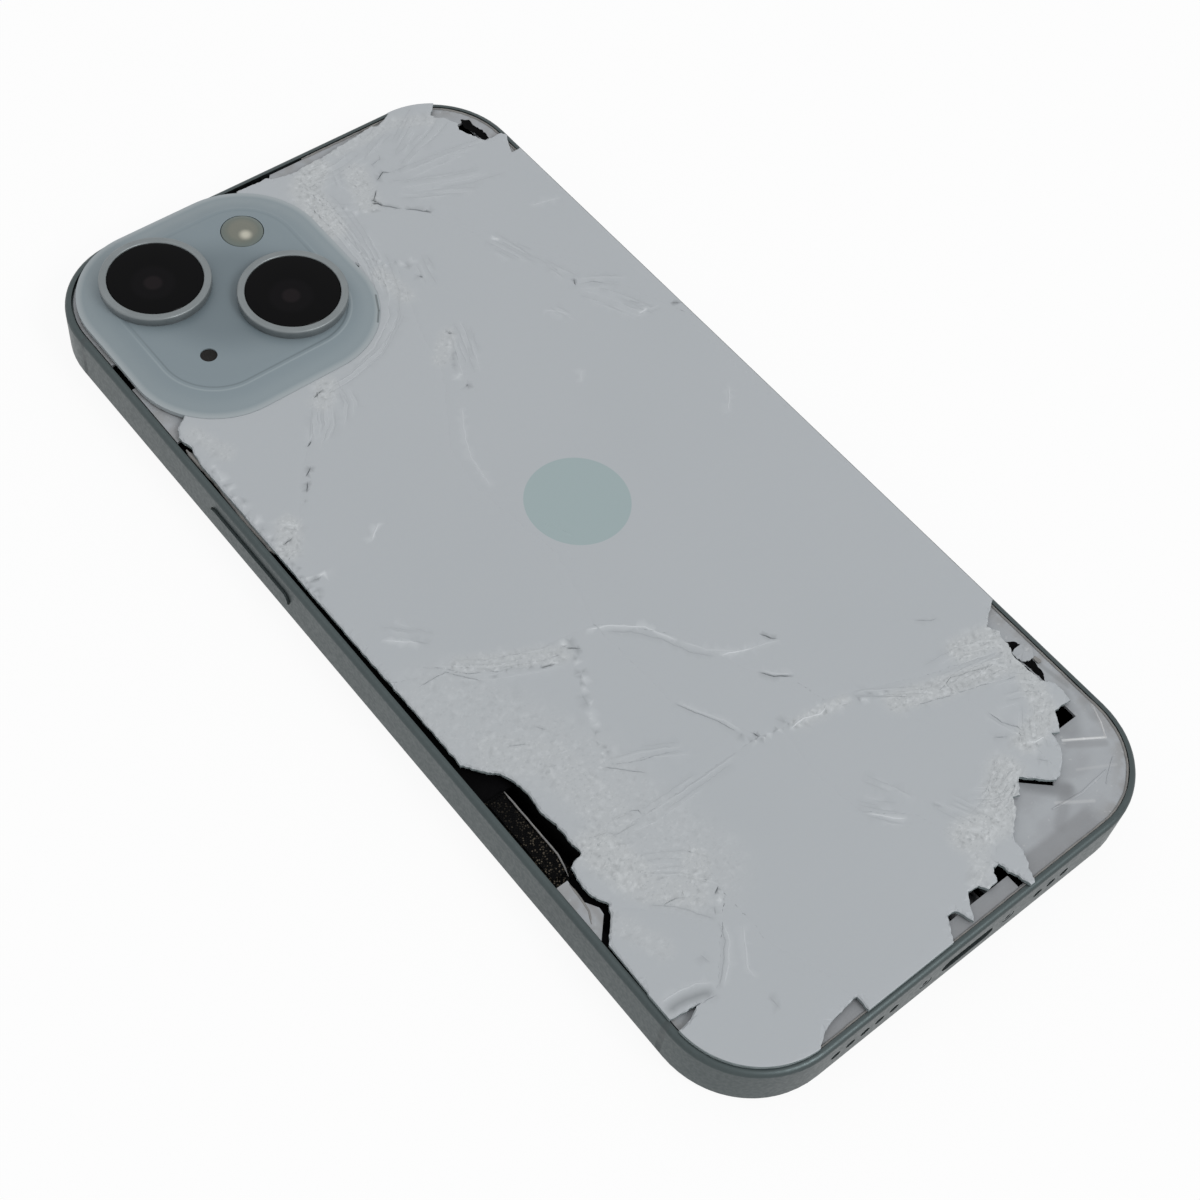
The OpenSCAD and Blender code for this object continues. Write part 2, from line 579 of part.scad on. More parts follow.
module sim_card() color([0.85, 0.72, 0.35]) translate([pocket_x + side_gap, tray_y - sim_l / 2,
    mid_z + tray_t / 2 - sim_t]) linear_extrude(sim_t - 0.05)
    polygon([[0, 0], [sim_w, 0], [sim_w, sim_l - 1.8], [sim_w - 1.8, sim_l], [0, sim_l]]);

reader_x = half_w - tray_depth - 1.2;
module sim_reader() color([0.6, 0.61, 0.62]) difference() {
    block([reader_x, tray_y - tray_w / 2 - 0.9, floor_z], [wall_x - 0.2, tray_y + tray_w / 2 + 0.9, mid_z + 1.4]);
    block([reader_x + 0.6, tray_y - tray_w / 2 - 0.3, mid_z - 1], [wall_x, tray_y + tray_w / 2 + 0.3, mid_z + 1]);
}

battery_gap = 0.2;
battery_box = [-wall_x + 4.15, across(3), along(-44), half_l - 41.35];
module battery() color([0.05, 0.05, 0.055]) {
    w = battery_box[1] - battery_box[0];
    l = battery_box[3] - battery_box[2];
    translate([(battery_box[0] + battery_box[1]) / 2, (battery_box[2] + battery_box[3]) / 2, 0])
        slab(floor_z + battery_gap, plate_z0 - 0.8) rounded_rect(w, l, 1.5);
}

module battery_adhesive() color([0.85, 0.86, 0.84]) slab(floor_z, floor_z + battery_gap)
    for (x = [3.9, 15.4, 26.9]) translate([battery_box[0] + x - 3.5, battery_box[2] + 3])
        square([7, battery_box[3] - battery_box[2] - 6]);

board_z = floor_z + 1;
board_t = 0.8;
board_left = battery_box[1] + 2;
board_right = wall_x - 2.55;
board_low = battery_box[2];
board_high = half_l - 13.35;
notch_x = reader_x - 3.55;
notch_half = tray_w / 2 + 2.85;
board_edge = [[board_left, board_low], [board_right, board_low], [board_right, tray_y - notch_half],
    [notch_x, tray_y - notch_half], [notch_x, tray_y + notch_half], [board_right, tray_y + notch_half],
    [board_right, board_high], [board_left, board_high]];
board_posts = [[board_left + 3, board_low + 2], [board_right - 3, board_low + 2], [board_left + 3, tray_y],
    [board_right - 2, tray_y + notch_half + 2.5], [board_left + 3, board_high - 2],
    [board_right - 3, board_high - 2]];
module logic_board() color([0.06, 0.2, 0.12]) {
    slab(board_z, board_z + board_t) polygon(board_edge);
    for (p = board_posts) translate([p.x, p.y, floor_z]) cylinder(h = 1, r = 1.2);
}

// A pressed shield, open towards the board
module shield(low, high, rise) {
    difference() {
        block([low.x, low.y, board_z + board_t], [high.x, high.y, board_z + board_t + rise]);
        block([low.x + 0.3, low.y + 0.3, board_z + board_t - 1], [high.x - 0.3, high.y - 0.3,
            board_z + board_t + rise - 0.3]);
    }
}
module shield_can_upper() color([0.62, 0.63, 0.64])
    shield([board_left + 2, tray_y + notch_half + 5], [board_right - 2, board_high - 5], 1.9);
module shield_can_lower() color([0.62, 0.63, 0.64])
    shield([board_left + 2, board_low + 4], [board_right - 2, tray_y - notch_half - 4], 1.5);

module flat_ring(r_in, r_out) difference() {
    circle(r_out);
    circle(r_in);
}
coil_t = 0.5;
module charging_coil() color([0.55, 0.32, 0.18]) slab(plate_z0 - coil_t, plate_z0) flat_ring(9, 20.5);
module magnet_ring() color([0.5, 0.5, 0.51]) slab(plate_z0 - coil_t, plate_z0) flat_ring(22, 26);

haptic_box = [board_left + 4, board_left + 22, board_low - 13.5, board_low - 5.5];
haptic_h = 3.6;
haptic_swing = 0.5;
module haptic_motor_case() color([0.45, 0.46, 0.47]) difference() {
    block([haptic_box[0], haptic_box[2], floor_z], [haptic_box[1], haptic_box[3], floor_z + haptic_h]);
    block([haptic_box[0] + 0.5, haptic_box[2] + 0.5, floor_z + 0.4],
        [haptic_box[1] - 0.5, haptic_box[3] - 0.5, floor_z + haptic_h - 0.4]);
}
module haptic_mass() color([0.35, 0.35, 0.36])
    block([haptic_box[0] + 0.7 + haptic_swing, haptic_box[2] + 0.7, floor_z + 0.6],
        [haptic_box[1] - 0.7 - haptic_swing, haptic_box[3] - 0.7, floor_z + haptic_h - 0.6]);

speaker_left = -wall_x + 3.55;
speaker_right = speaker_x + 7.6;
speaker_top = battery_box[2] - 6;
speaker_edge = [[speaker_left, speaker_top], [speaker_left, -half_l + 9.35], [speaker_left + 5, -half_l + 3.35],
    [speaker_x - 6.4, -wall_y + 0.3], [speaker_right, -wall_y + 0.3], [speaker_right, speaker_top]];
module loudspeaker() color([0.08, 0.08, 0.085]) difference() {
    intersection() {
        slab(floor_z, plate_z0) outline(wall);
        union() {
            slab(floor_z, plate_z0 - 0.6) polygon(speaker_edge);
            block([speaker_x - 5.9, -wall_y, mid_z - 1.2], [speaker_x + 6.1, -wall_y + 0.4, mid_z + 1.2]);
        }
    }
    block([speaker_x - 5.4, -wall_y - 0.1, mid_z - 0.8], [speaker_x + 5.6, -wall_y + 3, mid_z + 0.8]);
}

earpiece_x = board_left + 1;
earpiece_y = board_high + 3.5;
module earpiece_speaker() color([0.1, 0.1, 0.105]) {
    block([earpiece_x, earpiece_y, floor_z], [earpiece_x + 13, wall_y - 0.3, plate_z0 - 1.2]);
    block([earpiece_x + 2, earpiece_y + 1, plate_z0 - 1.2], [earpiece_x + 11, wall_y - 1.3, plate_z0 - 0.6]);
}

front_camera_place = [earpiece_x + 18.3, board_high + 6];
module front_camera() color([0.12, 0.12, 0.13]) translate([front_camera_place.x, front_camera_place.y, 0]) {
    block([-3.3, -3, floor_z], [3.3, 3, floor_z + 2]);
    translate([0, 0, floor_z + 2]) cylinder(h = 1, r = 2.4);
}

port_depth = 7.5;
port_x = port_w / 2 + 0.9;
module charging_port() color([0.5, 0.51, 0.52]) {
    difference() {
        block([-port_x, -wall_y, floor_z], [port_x, -wall_y + port_depth + 1, mid_z + 1.5]);
        translate([0, -wall_y - eps, mid_z]) end_pill(port_w, port_h, port_depth + eps);
    }
    block([-3.3, -wall_y + 0.8, mid_z - 0.35], [3.3, -wall_y + port_depth + 0.1, mid_z + 0.35]);
}

module end_screws() color([0.42, 0.47, 0.48]) for (x = [-1, 1])
    translate([x * end_screw_gap / 2, -half_l + 0.05, mid_z]) rotate([-90, 0, 0]) difference() {
        union() {
            cylinder(h = head_t - 0.05, r = head_r);
            cylinder(h = shank_len, r = shank_r);
        }
        for (a = [0:36:144]) rotate([0, 0, a]) cube([1, 0.16, 0.7], center = true);
    }

module plate_screws() color([0.6, 0.61, 0.62]) for (p = screw_places) translate([p.x, p.y, 0])
    difference() {
        union() {
            slab(plate_z, plate_z + 0.25) circle(0.8);
            slab(plate_z0 - 1.5, plate_z) circle(0.42);
        }
        for (a = [0, 90]) rotate([0, 0, a]) translate([0, 0, plate_z + 0.3])
            cube([0.9, 0.2, 0.3], center = true);
    }

frame();
antenna_bands();
display_glass();
display_panel();
display_seal();
backing_plate();
rear_adhesive();
edge_foam();
antenna_module();
antenna_clip();
glass_upper_left();
glass_centre_left();
glass_centre_right();
glass_top_middle();
glass_top_right();
glass_left_middle();
glass_centre_wedge();
glass_left_small();
glass_lower_left();
glass_bottom_left();
glass_bottom_middle();
glass_bottom_right();
glass_right_lower();
glass_tooth();
camera_plateau();
lens_ring_upper();
lens_ring_lower();
lens_cover_upper();
lens_cover_lower();
lens_barrel_upper();
lens_barrel_lower();
camera_module();
flash_lens();
flash_led();
rear_microphone();
side_button();
side_button_switch();
volume_up_button();
volume_down_button();
mute_switch();
volume_switches();
sim_tray();
sim_card();
sim_reader();
battery();
battery_adhesive();
logic_board();
shield_can_upper();
shield_can_lower();
charging_coil();
magnet_ring();
haptic_motor_case();
haptic_mass();
loudspeaker();
earpiece_speaker();
front_camera();
charging_port();
end_screws();
plate_screws();
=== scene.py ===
"""The looks of a slim smartphone that lies on its display, with shattered rear glass.

Lengths are in millimetres until a mesh is made. Seen from behind, +X is to the right and +Y is towards the
camera end. +Z points out of the back.
"""

import math

import bpy
import numpy as np
from mathutils import Matrix, Vector, kdtree, noise
from mathutils.geometry import delaunay_2d_cdt

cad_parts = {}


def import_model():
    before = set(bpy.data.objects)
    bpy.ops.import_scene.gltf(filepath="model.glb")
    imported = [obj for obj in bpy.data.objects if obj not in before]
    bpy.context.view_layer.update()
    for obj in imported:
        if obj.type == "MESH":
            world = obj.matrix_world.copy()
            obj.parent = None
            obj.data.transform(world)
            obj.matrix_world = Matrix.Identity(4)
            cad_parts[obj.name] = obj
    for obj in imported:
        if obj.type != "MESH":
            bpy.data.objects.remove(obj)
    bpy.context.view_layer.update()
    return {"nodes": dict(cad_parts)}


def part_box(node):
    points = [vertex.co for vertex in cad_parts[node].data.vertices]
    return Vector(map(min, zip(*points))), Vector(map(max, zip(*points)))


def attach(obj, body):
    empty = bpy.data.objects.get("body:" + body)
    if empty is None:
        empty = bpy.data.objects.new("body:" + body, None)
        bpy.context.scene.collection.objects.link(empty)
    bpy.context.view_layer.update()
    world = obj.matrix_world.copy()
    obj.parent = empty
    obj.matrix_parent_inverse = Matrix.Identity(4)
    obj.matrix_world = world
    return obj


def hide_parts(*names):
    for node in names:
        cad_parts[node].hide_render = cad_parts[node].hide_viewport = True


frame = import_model()

# The vector noise of mathutils starts from the clock unless it is given a seed
noise.seed_set(1)

MM = 0.001
BODY = "phone"
WHITE = (1, 1, 1, 1)


def node_box(node):
    """Lowest and highest corner of a CAD node, in millimetres."""
    low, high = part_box(node)
    return np.array(low) / MM, np.array(high) / MM


def middle(node):
    return sum(node_box(node))[:2] / 2


def half_width(node):
    low, high = node_box(node)
    return (high - low)[0] / 2


def top_of(node):
    return node_box(node)[1][2]


# ---------------------------------------------------------------- sizes taken from the frame
FRAME_LOW, FRAME_HIGH = node_box("frame")
GLASS_Z0, GLASS_TOP = (corner[2] for corner in node_box("glass_centre_left"))
PLATE_TOP = top_of("backing_plate")
PLATEAU_MID = middle("camera_plateau")
PLATEAU_HALF = half_width("camera_plateau")
PLATEAU_TOP = top_of("camera_plateau")
PLATEAU_R = 12.0
CORNER_R = 12.4
PANE_INSET = 0.85
PANE_HALF = FRAME_HIGH[:2] - PANE_INSET
PANE_R = CORNER_R - PANE_INSET
SHARDS = sorted(n for n in frame["nodes"] if n.startswith("glass_"))
LENSES = {side: middle("lens_cover_" + side) for side in ("upper", "lower")}
FLASH_PLACE = middle("flash_lens")
MIC_PLACE = middle("rear_microphone")
RING_R, RING_TOP = half_width("lens_ring_upper"), top_of("lens_ring_upper")
COVER_R, COVER_TOP = half_width("lens_cover_upper"), top_of("lens_cover_upper")
FLASH_R = half_width("flash_lens")
MIC_R = 1.15

# ---------------------------------------------------------------- the view, the light and the floor
VIEW_AIM = (-6.1, -12.6, 8.3)
VIEW_AZIMUTH = -47.3
VIEW_ELEVATION = 55.7
VIEW_ROLL = 9.6
VIEW_DISTANCE = 248.2
VIEW_LENS = 59.8
VIEW_SENSOR = 36
VIEW_NEAR = 0.01

WORLD_LIGHT = 0.74
FLOOR_HALF = 3.0
FLOOR_Z = -0.00002
FLOOR_GLOW = 0.92


def rgb(red, green, blue):
    """A colour given in sRGB from 0 to 255, as linear RGBA."""
    def linear(v):
        v /= 255
        return v / 12.92 if v <= 0.04045 else ((v + 0.055) / 1.055) ** 2.4
    return (linear(red), linear(green), linear(blue), 1.0)


# ---------------------------------------------------------------- materials
# The sockets of a mix node that carry colours
COLOUR_A, COLOUR_B, COLOUR_OUT = 6, 7, 2


class Nodes:
    """A node tree that is built up by small steps."""

    def __init__(self, tree):
        self.tree = tree

    def node(self, kind, **inputs):
        made = self.tree.nodes.new(kind)
        for name, value in inputs.items():
            made.inputs[name.replace("_", " ")].default_value = value
        return made

    def join(self, output, socket):
        self.tree.links.new(output, socket)

    def maths(self, operation, *values):
        made = self.node("ShaderNodeMath")
        made.operation = operation
        for socket, value in zip(made.inputs, values):
            if isinstance(value, (int, float)):
                socket.default_value = value
            else:
                self.join(value, socket)
        return made.outputs[0]

    def mixed(self, share, first, second):
        """A shader that goes from the first to the second as the share goes from 0 to 1."""
        made = self.node("ShaderNodeMixShader")
        for socket, output in zip(made.inputs, (share, first, second)):
            self.join(output, socket)
        return made.outputs[0]


class Finish(Nodes):
    """A principled material, with masks and distances in millimetres to colour it by."""

    def __init__(self, name, colour, roughness, metallic=0.0, specular=0.5):
        self.material = bpy.data.materials.new(name)
        self.material.use_nodes = True
        super().__init__(self.material.node_tree)
        self.shader = self.tree.nodes["Principled BSDF"]
        self.base = rgb(*colour)
        for socket, value in (("Base Color", self.base), ("Roughness", roughness), ("Metallic", metallic),
                              ("Specular IOR Level", specular)):
            self.shader.inputs[socket].default_value = value
        self.colour = self.normal = None
        place = self.node("ShaderNodeTexCoord")
        scale = self.node("ShaderNodeMapping", Scale=(1 / MM,) * 3)
        self.join(place.outputs["Object"], scale.inputs["Vector"])
        self.mm = scale.outputs["Vector"]

    def noise(self, scale, detail=3.0, stretch=(1, 1, 1), roughness=0.5):
        """A noise from 0 to 1, with scale features to a millimetre."""
        vector = self.mm
        if stretch != (1, 1, 1):
            mapping = self.node("ShaderNodeMapping", Scale=stretch)
            self.join(self.mm, mapping.inputs["Vector"])
            vector = mapping.outputs["Vector"]
        made = self.node("ShaderNodeTexNoise", Scale=scale, Detail=detail, Roughness=roughness)
        self.join(vector, made.inputs["Vector"])
        return made.outputs["Fac"]

    def cells(self, scale):
        """Distance from the middle of the nearest of many cells."""
        made = self.node("ShaderNodeTexVoronoi", Scale=scale)
        self.join(self.mm, made.inputs["Vector"])
        return made.outputs["Distance"]

    def stretch(self, value, low, high, to_low=0.0, to_high=1.0):
        """The value, taken smoothly from one range to another and held at its ends."""
        made = self.node("ShaderNodeMapRange", From_Min=low, From_Max=high, To_Min=to_low, To_Max=to_high)
        made.interpolation_type = "SMOOTHSTEP"
        self.join(value, made.inputs["Value"])
        return made.outputs["Result"]

    def tint(self, mask, colour, amount=1.0):
        """Mixes another colour over the base colour where the mask is high."""
        mix = self.node("ShaderNodeMix")
        mix.data_type = "RGBA"
        self.join(self.maths("MULTIPLY", mask, amount) if amount != 1.0 else mask, mix.inputs["Factor"])
        if self.colour is None:
            mix.inputs[COLOUR_A].default_value = self.base
        else:
            self.join(self.colour, mix.inputs[COLOUR_A])
        mix.inputs[COLOUR_B].default_value = rgb(*colour)
        self.colour = mix.outputs[COLOUR_OUT]
        self.join(self.colour, self.shader.inputs["Base Color"])

    def roughness(self, value, low, high, from_low=0.3, from_high=0.7):
        self.join(self.stretch(value, from_low, from_high, low, high), self.shader.inputs["Roughness"])

    def bump(self, height, depth):
        """Adds relief of that depth in millimetres."""
        made = self.node("ShaderNodeBump", Distance=depth * MM)
        self.join(height, made.inputs["Height"])
        if self.normal is not None:
            self.join(self.normal, made.inputs["Normal"])
        self.normal = made.outputs["Normal"]
        self.join(self.normal, self.shader.inputs["Normal"])

    def axis(self, index):
        split = self.node("ShaderNodeSeparateXYZ")
        self.join(self.mm, split.inputs[0])
        return split.outputs[index]

    def waves(self, value, pitch):
        return self.maths("SINE", self.maths("MULTIPLY", value, pitch))

    def weave(self, pitch):
        return self.maths("MULTIPLY", *[self.waves(self.axis(index), pitch) for index in (0, 1)])

    def away(self, place):
        """How far right of a place on the back, and how far up from it."""
        return [self.maths("SUBTRACT", self.axis(index), place[index]) for index in (0, 1)]

    def length(self, across, along):
        squares = [self.maths("MULTIPLY", part, part) for part in (across, along)]
        return self.maths("SQRT", self.maths("ADD", *squares))

    def distance_to(self, place):
        """Distance from an upright line through a place on the back."""
        return self.length(*self.away(place))

    def outline_distance(self, half, radius, centre=(0, 0)):
        """Distance outside a rounded rectangle, negative inside it."""
        reach = [self.maths("SUBTRACT", self.maths("ABSOLUTE", part), extent - radius)
                 for part, extent in zip(self.away(centre), half)]
        outside = self.length(*[self.maths("MAXIMUM", part, 0.0) for part in reach])
        within = self.maths("MINIMUM", self.maths("MAXIMUM", *reach), 0.0)
        return self.maths("SUBTRACT", self.maths("ADD", outside, within), radius)

    def line_distance(self, start, end):
        """Distance from a straight line between two points on the back."""
        span = [e - s for s, e in zip(start, end)]
        away = self.away(start)
        along = self.maths("ADD", *[self.maths("MULTIPLY", a, v) for a, v in zip(away, span)])
        share = self.maths("MULTIPLY", along, 1 / (span[0] ** 2 + span[1] ** 2))
        share = self.maths("MINIMUM", self.maths("MAXIMUM", share, 0.0), 1.0)
        return self.length(*[self.maths("SUBTRACT", a, self.maths("MULTIPLY", share, v))
                             for a, v in zip(away, span)])

    def mark(self, channel):
        """One channel of the marks on the meshes: 0 painted shade in cracks and pits, with dark specks, 1
        painted highlight on raised lines and chips, with pale specks, 2 crushed glass.
        """
        made = self.node("ShaderNodeAttribute")
        made.attribute_name = "marks"
        split = self.node("ShaderNodeSeparateColor")
        self.join(made.outputs["Color"], split.inputs[0])
        return split.outputs[channel]


EMBLEM_PLACE = (1.3, 1.0)
EMBLEM_R = 7.0
EMBLEM_BLUR = 0.08
# Lines of shade and light along the plateau's shoulder: how far in, half width, colour and strength
SHOULDER_LINES = [(4.4, 0.22, (92, 103, 108), 0.6), (3.85, 0.2, (150, 160, 164), 0.45)]
SHOULDER_FADE = 6.0
# A line of painted shade on the shoulder at the plateau's right corner
CORNER_SHADE_LINE = [(0.7, 44.3), (-0.6, 41.8), (-1.9, 40.2)]
# How far in from the frame's outside the painted shade of its cavity, the plate's worn rim and the display's
# panel begin
CAVITY_SHADE_INSET = 1.12
PLATE_RIM_INSET = 1.0
PANEL_INSET = 3.2


def rear_glass():
    f = Finish("rear_glass", (165, 170, 174), 0.44, specular=0.3)
    f.tint(f.noise(0.05, 2), (170, 174, 178), 0.6)
    crushed = f.mark(2)
    f.tint(crushed, (179, 182, 183), 0.6)
    grit = f.noise(2.6, 3, (1, 1.4, 1), 0.6)
    f.tint(f.maths("MULTIPLY", crushed, f.stretch(grit, 0.56, 0.72)), (205, 208, 209), 0.5)
    f.tint(f.maths("MULTIPLY", crushed, f.stretch(grit, 0.42, 0.3)), (128, 134, 137), 0.5)
    # Painted shade in cracks and pits, and painted highlights on raised lines and chips
    f.tint(f.mark(0), (46, 51, 54), 0.85)
    f.tint(f.mark(1), (212, 216, 219), 0.8)
    disc = f.stretch(f.distance_to(EMBLEM_PLACE), EMBLEM_R - EMBLEM_BLUR, EMBLEM_R + EMBLEM_BLUR, 1.0, 0.0)
    f.tint(disc, (148, 163, 165))
    f.join(f.stretch(disc, 0.0, 1.0, 0.42, 0.2), f.shader.inputs["Roughness"])
    f.bump(f.noise(9, 2), 0.003)
    f.bump(f.noise(0.35, 2, (1, 2.2, 1)), 0.02)
    f.bump(f.maths("MULTIPLY", crushed, grit), 0.03)
    return f.material


def glass_edge():
    f = Finish("glass_edge", (150, 160, 162), 0.3)
    f.tint(f.noise(1.6, 3), (92, 104, 106), 0.8)
    f.bump(f.noise(3.2, 4, (1, 1, 2.5)), 0.12)
    return f.material


def plateau_glass():
    f = Finish("plateau_glass", (105, 117, 123), 0.34, specular=0.3)
    f.tint(f.stretch(f.distance_to(PLATEAU_MID), 6.0, 12.0), (121, 133, 139))
    top, foot = PLATEAU_TOP, GLASS_TOP
    # Painted sheen: the slope is painted lighter down towards its foot, and its lowest 0.14 mm takes the rear
    # glass's colour
    f.tint(f.stretch(f.axis(2), top - 0.12 * (top - foot), foot + 0.2 * (top - foot)), (129, 140, 145), 0.8)
    f.tint(f.stretch(f.axis(2), foot + 0.14, foot), (156, 163, 166), 0.7)
    shoulder = f.outline_distance((PLATEAU_HALF,) * 2, PLATEAU_R, PLATEAU_MID)
    high, low = PLATEAU_MID[1] + SHOULDER_FADE, PLATEAU_MID[1] - SHOULDER_FADE
    for inset, half, colour, amount in SHOULDER_LINES:
        away = f.maths("ABSOLUTE", f.maths("ADD", shoulder, inset))
        low_side = f.stretch(f.axis(1), high, low, 0.25, 1.0)
        f.tint(f.maths("MULTIPLY", low_side, f.stretch(away, half, 0.0)), colour, amount)
    # Painted shade along the shoulder at the right corner
    for start, end in zip(CORNER_SHADE_LINE, CORNER_SHADE_LINE[1:]):
        f.tint(f.stretch(f.line_distance(start, end), 0.2, 0.08), (84, 92, 94), 0.75)
    f.roughness(f.noise(0.4, 3), 0.3, 0.4)
    f.bump(f.noise(0.25, 2), 0.01)
    return f.material


def frame_metal():
    f = Finish("frame_metal", (74, 82, 83), 0.46, 1.0)
    f.tint(f.noise(0.12, 3, (1, 1, 3)), (82, 90, 91), 0.7)
    scuffs = f.stretch(f.noise(1.1, 5, (1, 1, 2), 0.7), 0.66, 0.74)
    f.tint(scuffs, (104, 112, 113), 0.35)
    # Painted shade: inside the frame, from a millimetre above its bottom up, the metal is painted near black
    inner = f.outline_distance(FRAME_HIGH[:2] - CAVITY_SHADE_INSET, CORNER_R - CAVITY_SHADE_INSET)
    deep = f.stretch(f.axis(2), FRAME_LOW[2] + 0.9, FRAME_LOW[2] + 1.0)
    f.tint(f.maths("MULTIPLY", f.stretch(inner, -0.05, 0.05, 1.0, 0.0), deep), (10, 10, 11))
    f.roughness(f.noise(2.2, 4), 0.4, 0.5)
    f.bump(f.noise(14, 2), 0.001)
    f.bump(scuffs, 0.006)
    return f.material


# Painted shade by the shards and clip, painted highlights on the creases: two ends, how far each reaches, its
# colour and strength
PLATE_SHADE_AND_HIGHLIGHTS = [
    ((31.5, -57.0), (29.5, -61.0), 2.4, (122, 125, 128), 0.5),
    ((35.0, -57.0), (33.5, -61.5), 1.3, (130, 133, 136), 0.4),
    ((19.5, -63.0), (22.8, -66.6), 1.7, (112, 115, 118), 0.6),
    ((23.0, -66.5), (18.5, -69.5), 1.2, (126, 128, 131), 0.5),
    ((27.6, -62.3), (31.6, -64.9), 0.8, (132, 134, 137), 0.5),
    ((27.6, -61.5), (29.9, -62.9), 0.28, (196, 198, 199), 0.85),
    ((29.9, -62.9), (32.3, -64.4), 0.25, (200, 202, 203), 0.85),
    ((34.4, -60.2), (33.4, -62.6), 0.2, (190, 191, 192), 0.6),
    ((33.4, -62.6), (32.3, -64.4), 0.2, (190, 191, 192), 0.7),
    ((20.5, -67.0), (24.5, -69.6), 0.35, (180, 182, 184), 0.5),
    ((26.0, -65.4), (30.5, -67.8), 0.3, (176, 178, 180), 0.35),
    ((33.3, -52.0), (33.9, -56.5), 0.5, (132, 135, 137), 0.6),
    ((-32.5, -41.5), (-33.1, -46.5), 0.6, (138, 137, 137), 0.6),
]


def backing_metal():
    f = Finish("backing_metal", (158, 162, 166), 0.5, 0.1, specular=0.3)
    f.tint(f.stretch(f.noise(0.16, 4, (1, 1.8, 1)), 0.4, 0.65), (149, 152, 156), 0.8)
    rim = f.outline_distance(FRAME_HIGH[:2] - PLATE_RIM_INSET, CORNER_R - PLATE_RIM_INSET)
    worn = f.maths("MULTIPLY", f.stretch(rim, -2.6, -0.4), f.stretch(f.noise(0.5, 4), 0.35, 0.6))
    f.tint(worn, (140, 140, 140), 0.6)
    f.tint(f.stretch(f.noise(1.4, 5), 0.64, 0.7), (176, 178, 180), 0.5)
    f.roughness(f.noise(0.7, 4), 0.42, 0.6)
    # Painted shade on the plate near the bottom of the frame, below y −69 and left of x 22 to 25
    low_right_shade = f.maths("MULTIPLY", f.stretch(f.axis(1), -69.0, -70.0), f.stretch(f.axis(0), 25.0, 22.0))
    f.tint(low_right_shade, (130, 132, 135), 0.8)
    # Painted shade and painted highlights from the table above
    for start, end, reach, colour, amount in PLATE_SHADE_AND_HIGHLIGHTS:
        f.tint(f.stretch(f.line_distance(start, end), reach, 0.2 * reach), colour, amount)
    f.bump(f.noise(6, 3), 0.003)
    f.bump(f.noise(0.3, 3, (1, 2.5, 1)), 0.05)
    return f.material


def woven_tape():
    f = Finish("woven_tape", (5, 5, 6), 0.6, specular=0.04)
    dots = f.stretch(f.cells(3.4), 0.42, 0.2)
    worn = f.stretch(f.axis(1), -28.0, -36.0, 0.3, 1.0)
    specks = f.maths("MULTIPLY", f.maths("MULTIPLY", dots, worn), f.stretch(f.noise(1.3, 2), 0.36, 0.56))
    f.tint(specks, (92, 85, 74), 0.85)
    f.bump(f.weave(15.0), 0.05)
    return f.material


def coil_copper():
    f = Finish("coil_copper", (150, 92, 58), 0.3, 1.0)
    turns = f.waves(f.distance_to((0, 0)), 14.0)
    f.tint(f.stretch(turns, -1, -0.5, 1, 0), (70, 40, 26), 0.8)
    f.bump(turns, 0.04)
    return f.material


def lens_glass():
    f = Finish("lens_glass", (11, 11, 12), 0.08, specular=0.04)
    # Painted reflection of the lens inside: a soft lighter spot in each cover, a little off its middle
    for place in LENSES.values():
        away = f.distance_to(place - (0.7, 0.6))
        f.tint(f.stretch(away, 3.4, 2.4), (17, 16, 18), 0.7)
        f.tint(f.stretch(away, 1.5, 0.9), (31, 27, 29), 0.8)
    f.roughness(f.noise(0.3, 3), 0.06, 0.12)
    return f.material


def flash_glass():
    f = Finish("flash_glass", (94, 103, 99), 0.25, specular=0.4)
    away = f.distance_to(FLASH_PLACE)
    f.tint(f.stretch(away, FLASH_R, FLASH_R - 0.8), (97, 103, 96))
    f.tint(f.stretch(away, 2.4, 1.5), (108, 110, 101))
    # Painted highlight: a bright spot a little below the dome's middle
    f.tint(f.stretch(f.distance_to(FLASH_PLACE - (0.1, 1.0)), 1.2, 0.2), (182, 180, 166), 0.95)
    f.bump(f.waves(away, 11.0), 0.006)
    return f.material


def display_glass():
    f = Finish("display_glass", (9, 9, 11), 0.1, specular=0.3)
    panel = f.outline_distance(FRAME_HIGH[:2] - PANEL_INSET, CORNER_R - PANEL_INSET)
    f.tint(f.stretch(panel, -0.02, 0.02, 1.0, 0.0), (17, 18, 21))
    f.roughness(f.noise(0.15, 4), 0.05, 0.14)
    return f.material


def microphone_weave():
    f = Finish("microphone_mesh", (34, 33, 31), 0.7, specular=0.2)
    weave = f.weave(24.0)
    f.tint(f.stretch(weave, 0.1, 0.6), (24, 23, 22), 0.9)
    f.bump(weave, 0.03)
    return f.material


def plain(name, colour, roughness, metallic=0.0, other=None, grain=4.0, depth=0.01, patch=0.4, specular=0.5):
    """A finish with mottled colour, uneven gloss and a fine grain."""
    f = Finish(name, colour, roughness, metallic, specular)
    shade = other or tuple(min(255, c * 1.18 + 3) for c in colour)
    f.tint(f.stretch(f.noise(patch, 4), 0.35, 0.65), shade, 0.6)
    f.roughness(f.noise(patch * 2, 3), roughness * 0.85, min(1.0, roughness * 1.2))
    f.bump(f.noise(grain, 3), depth)
    return f.material


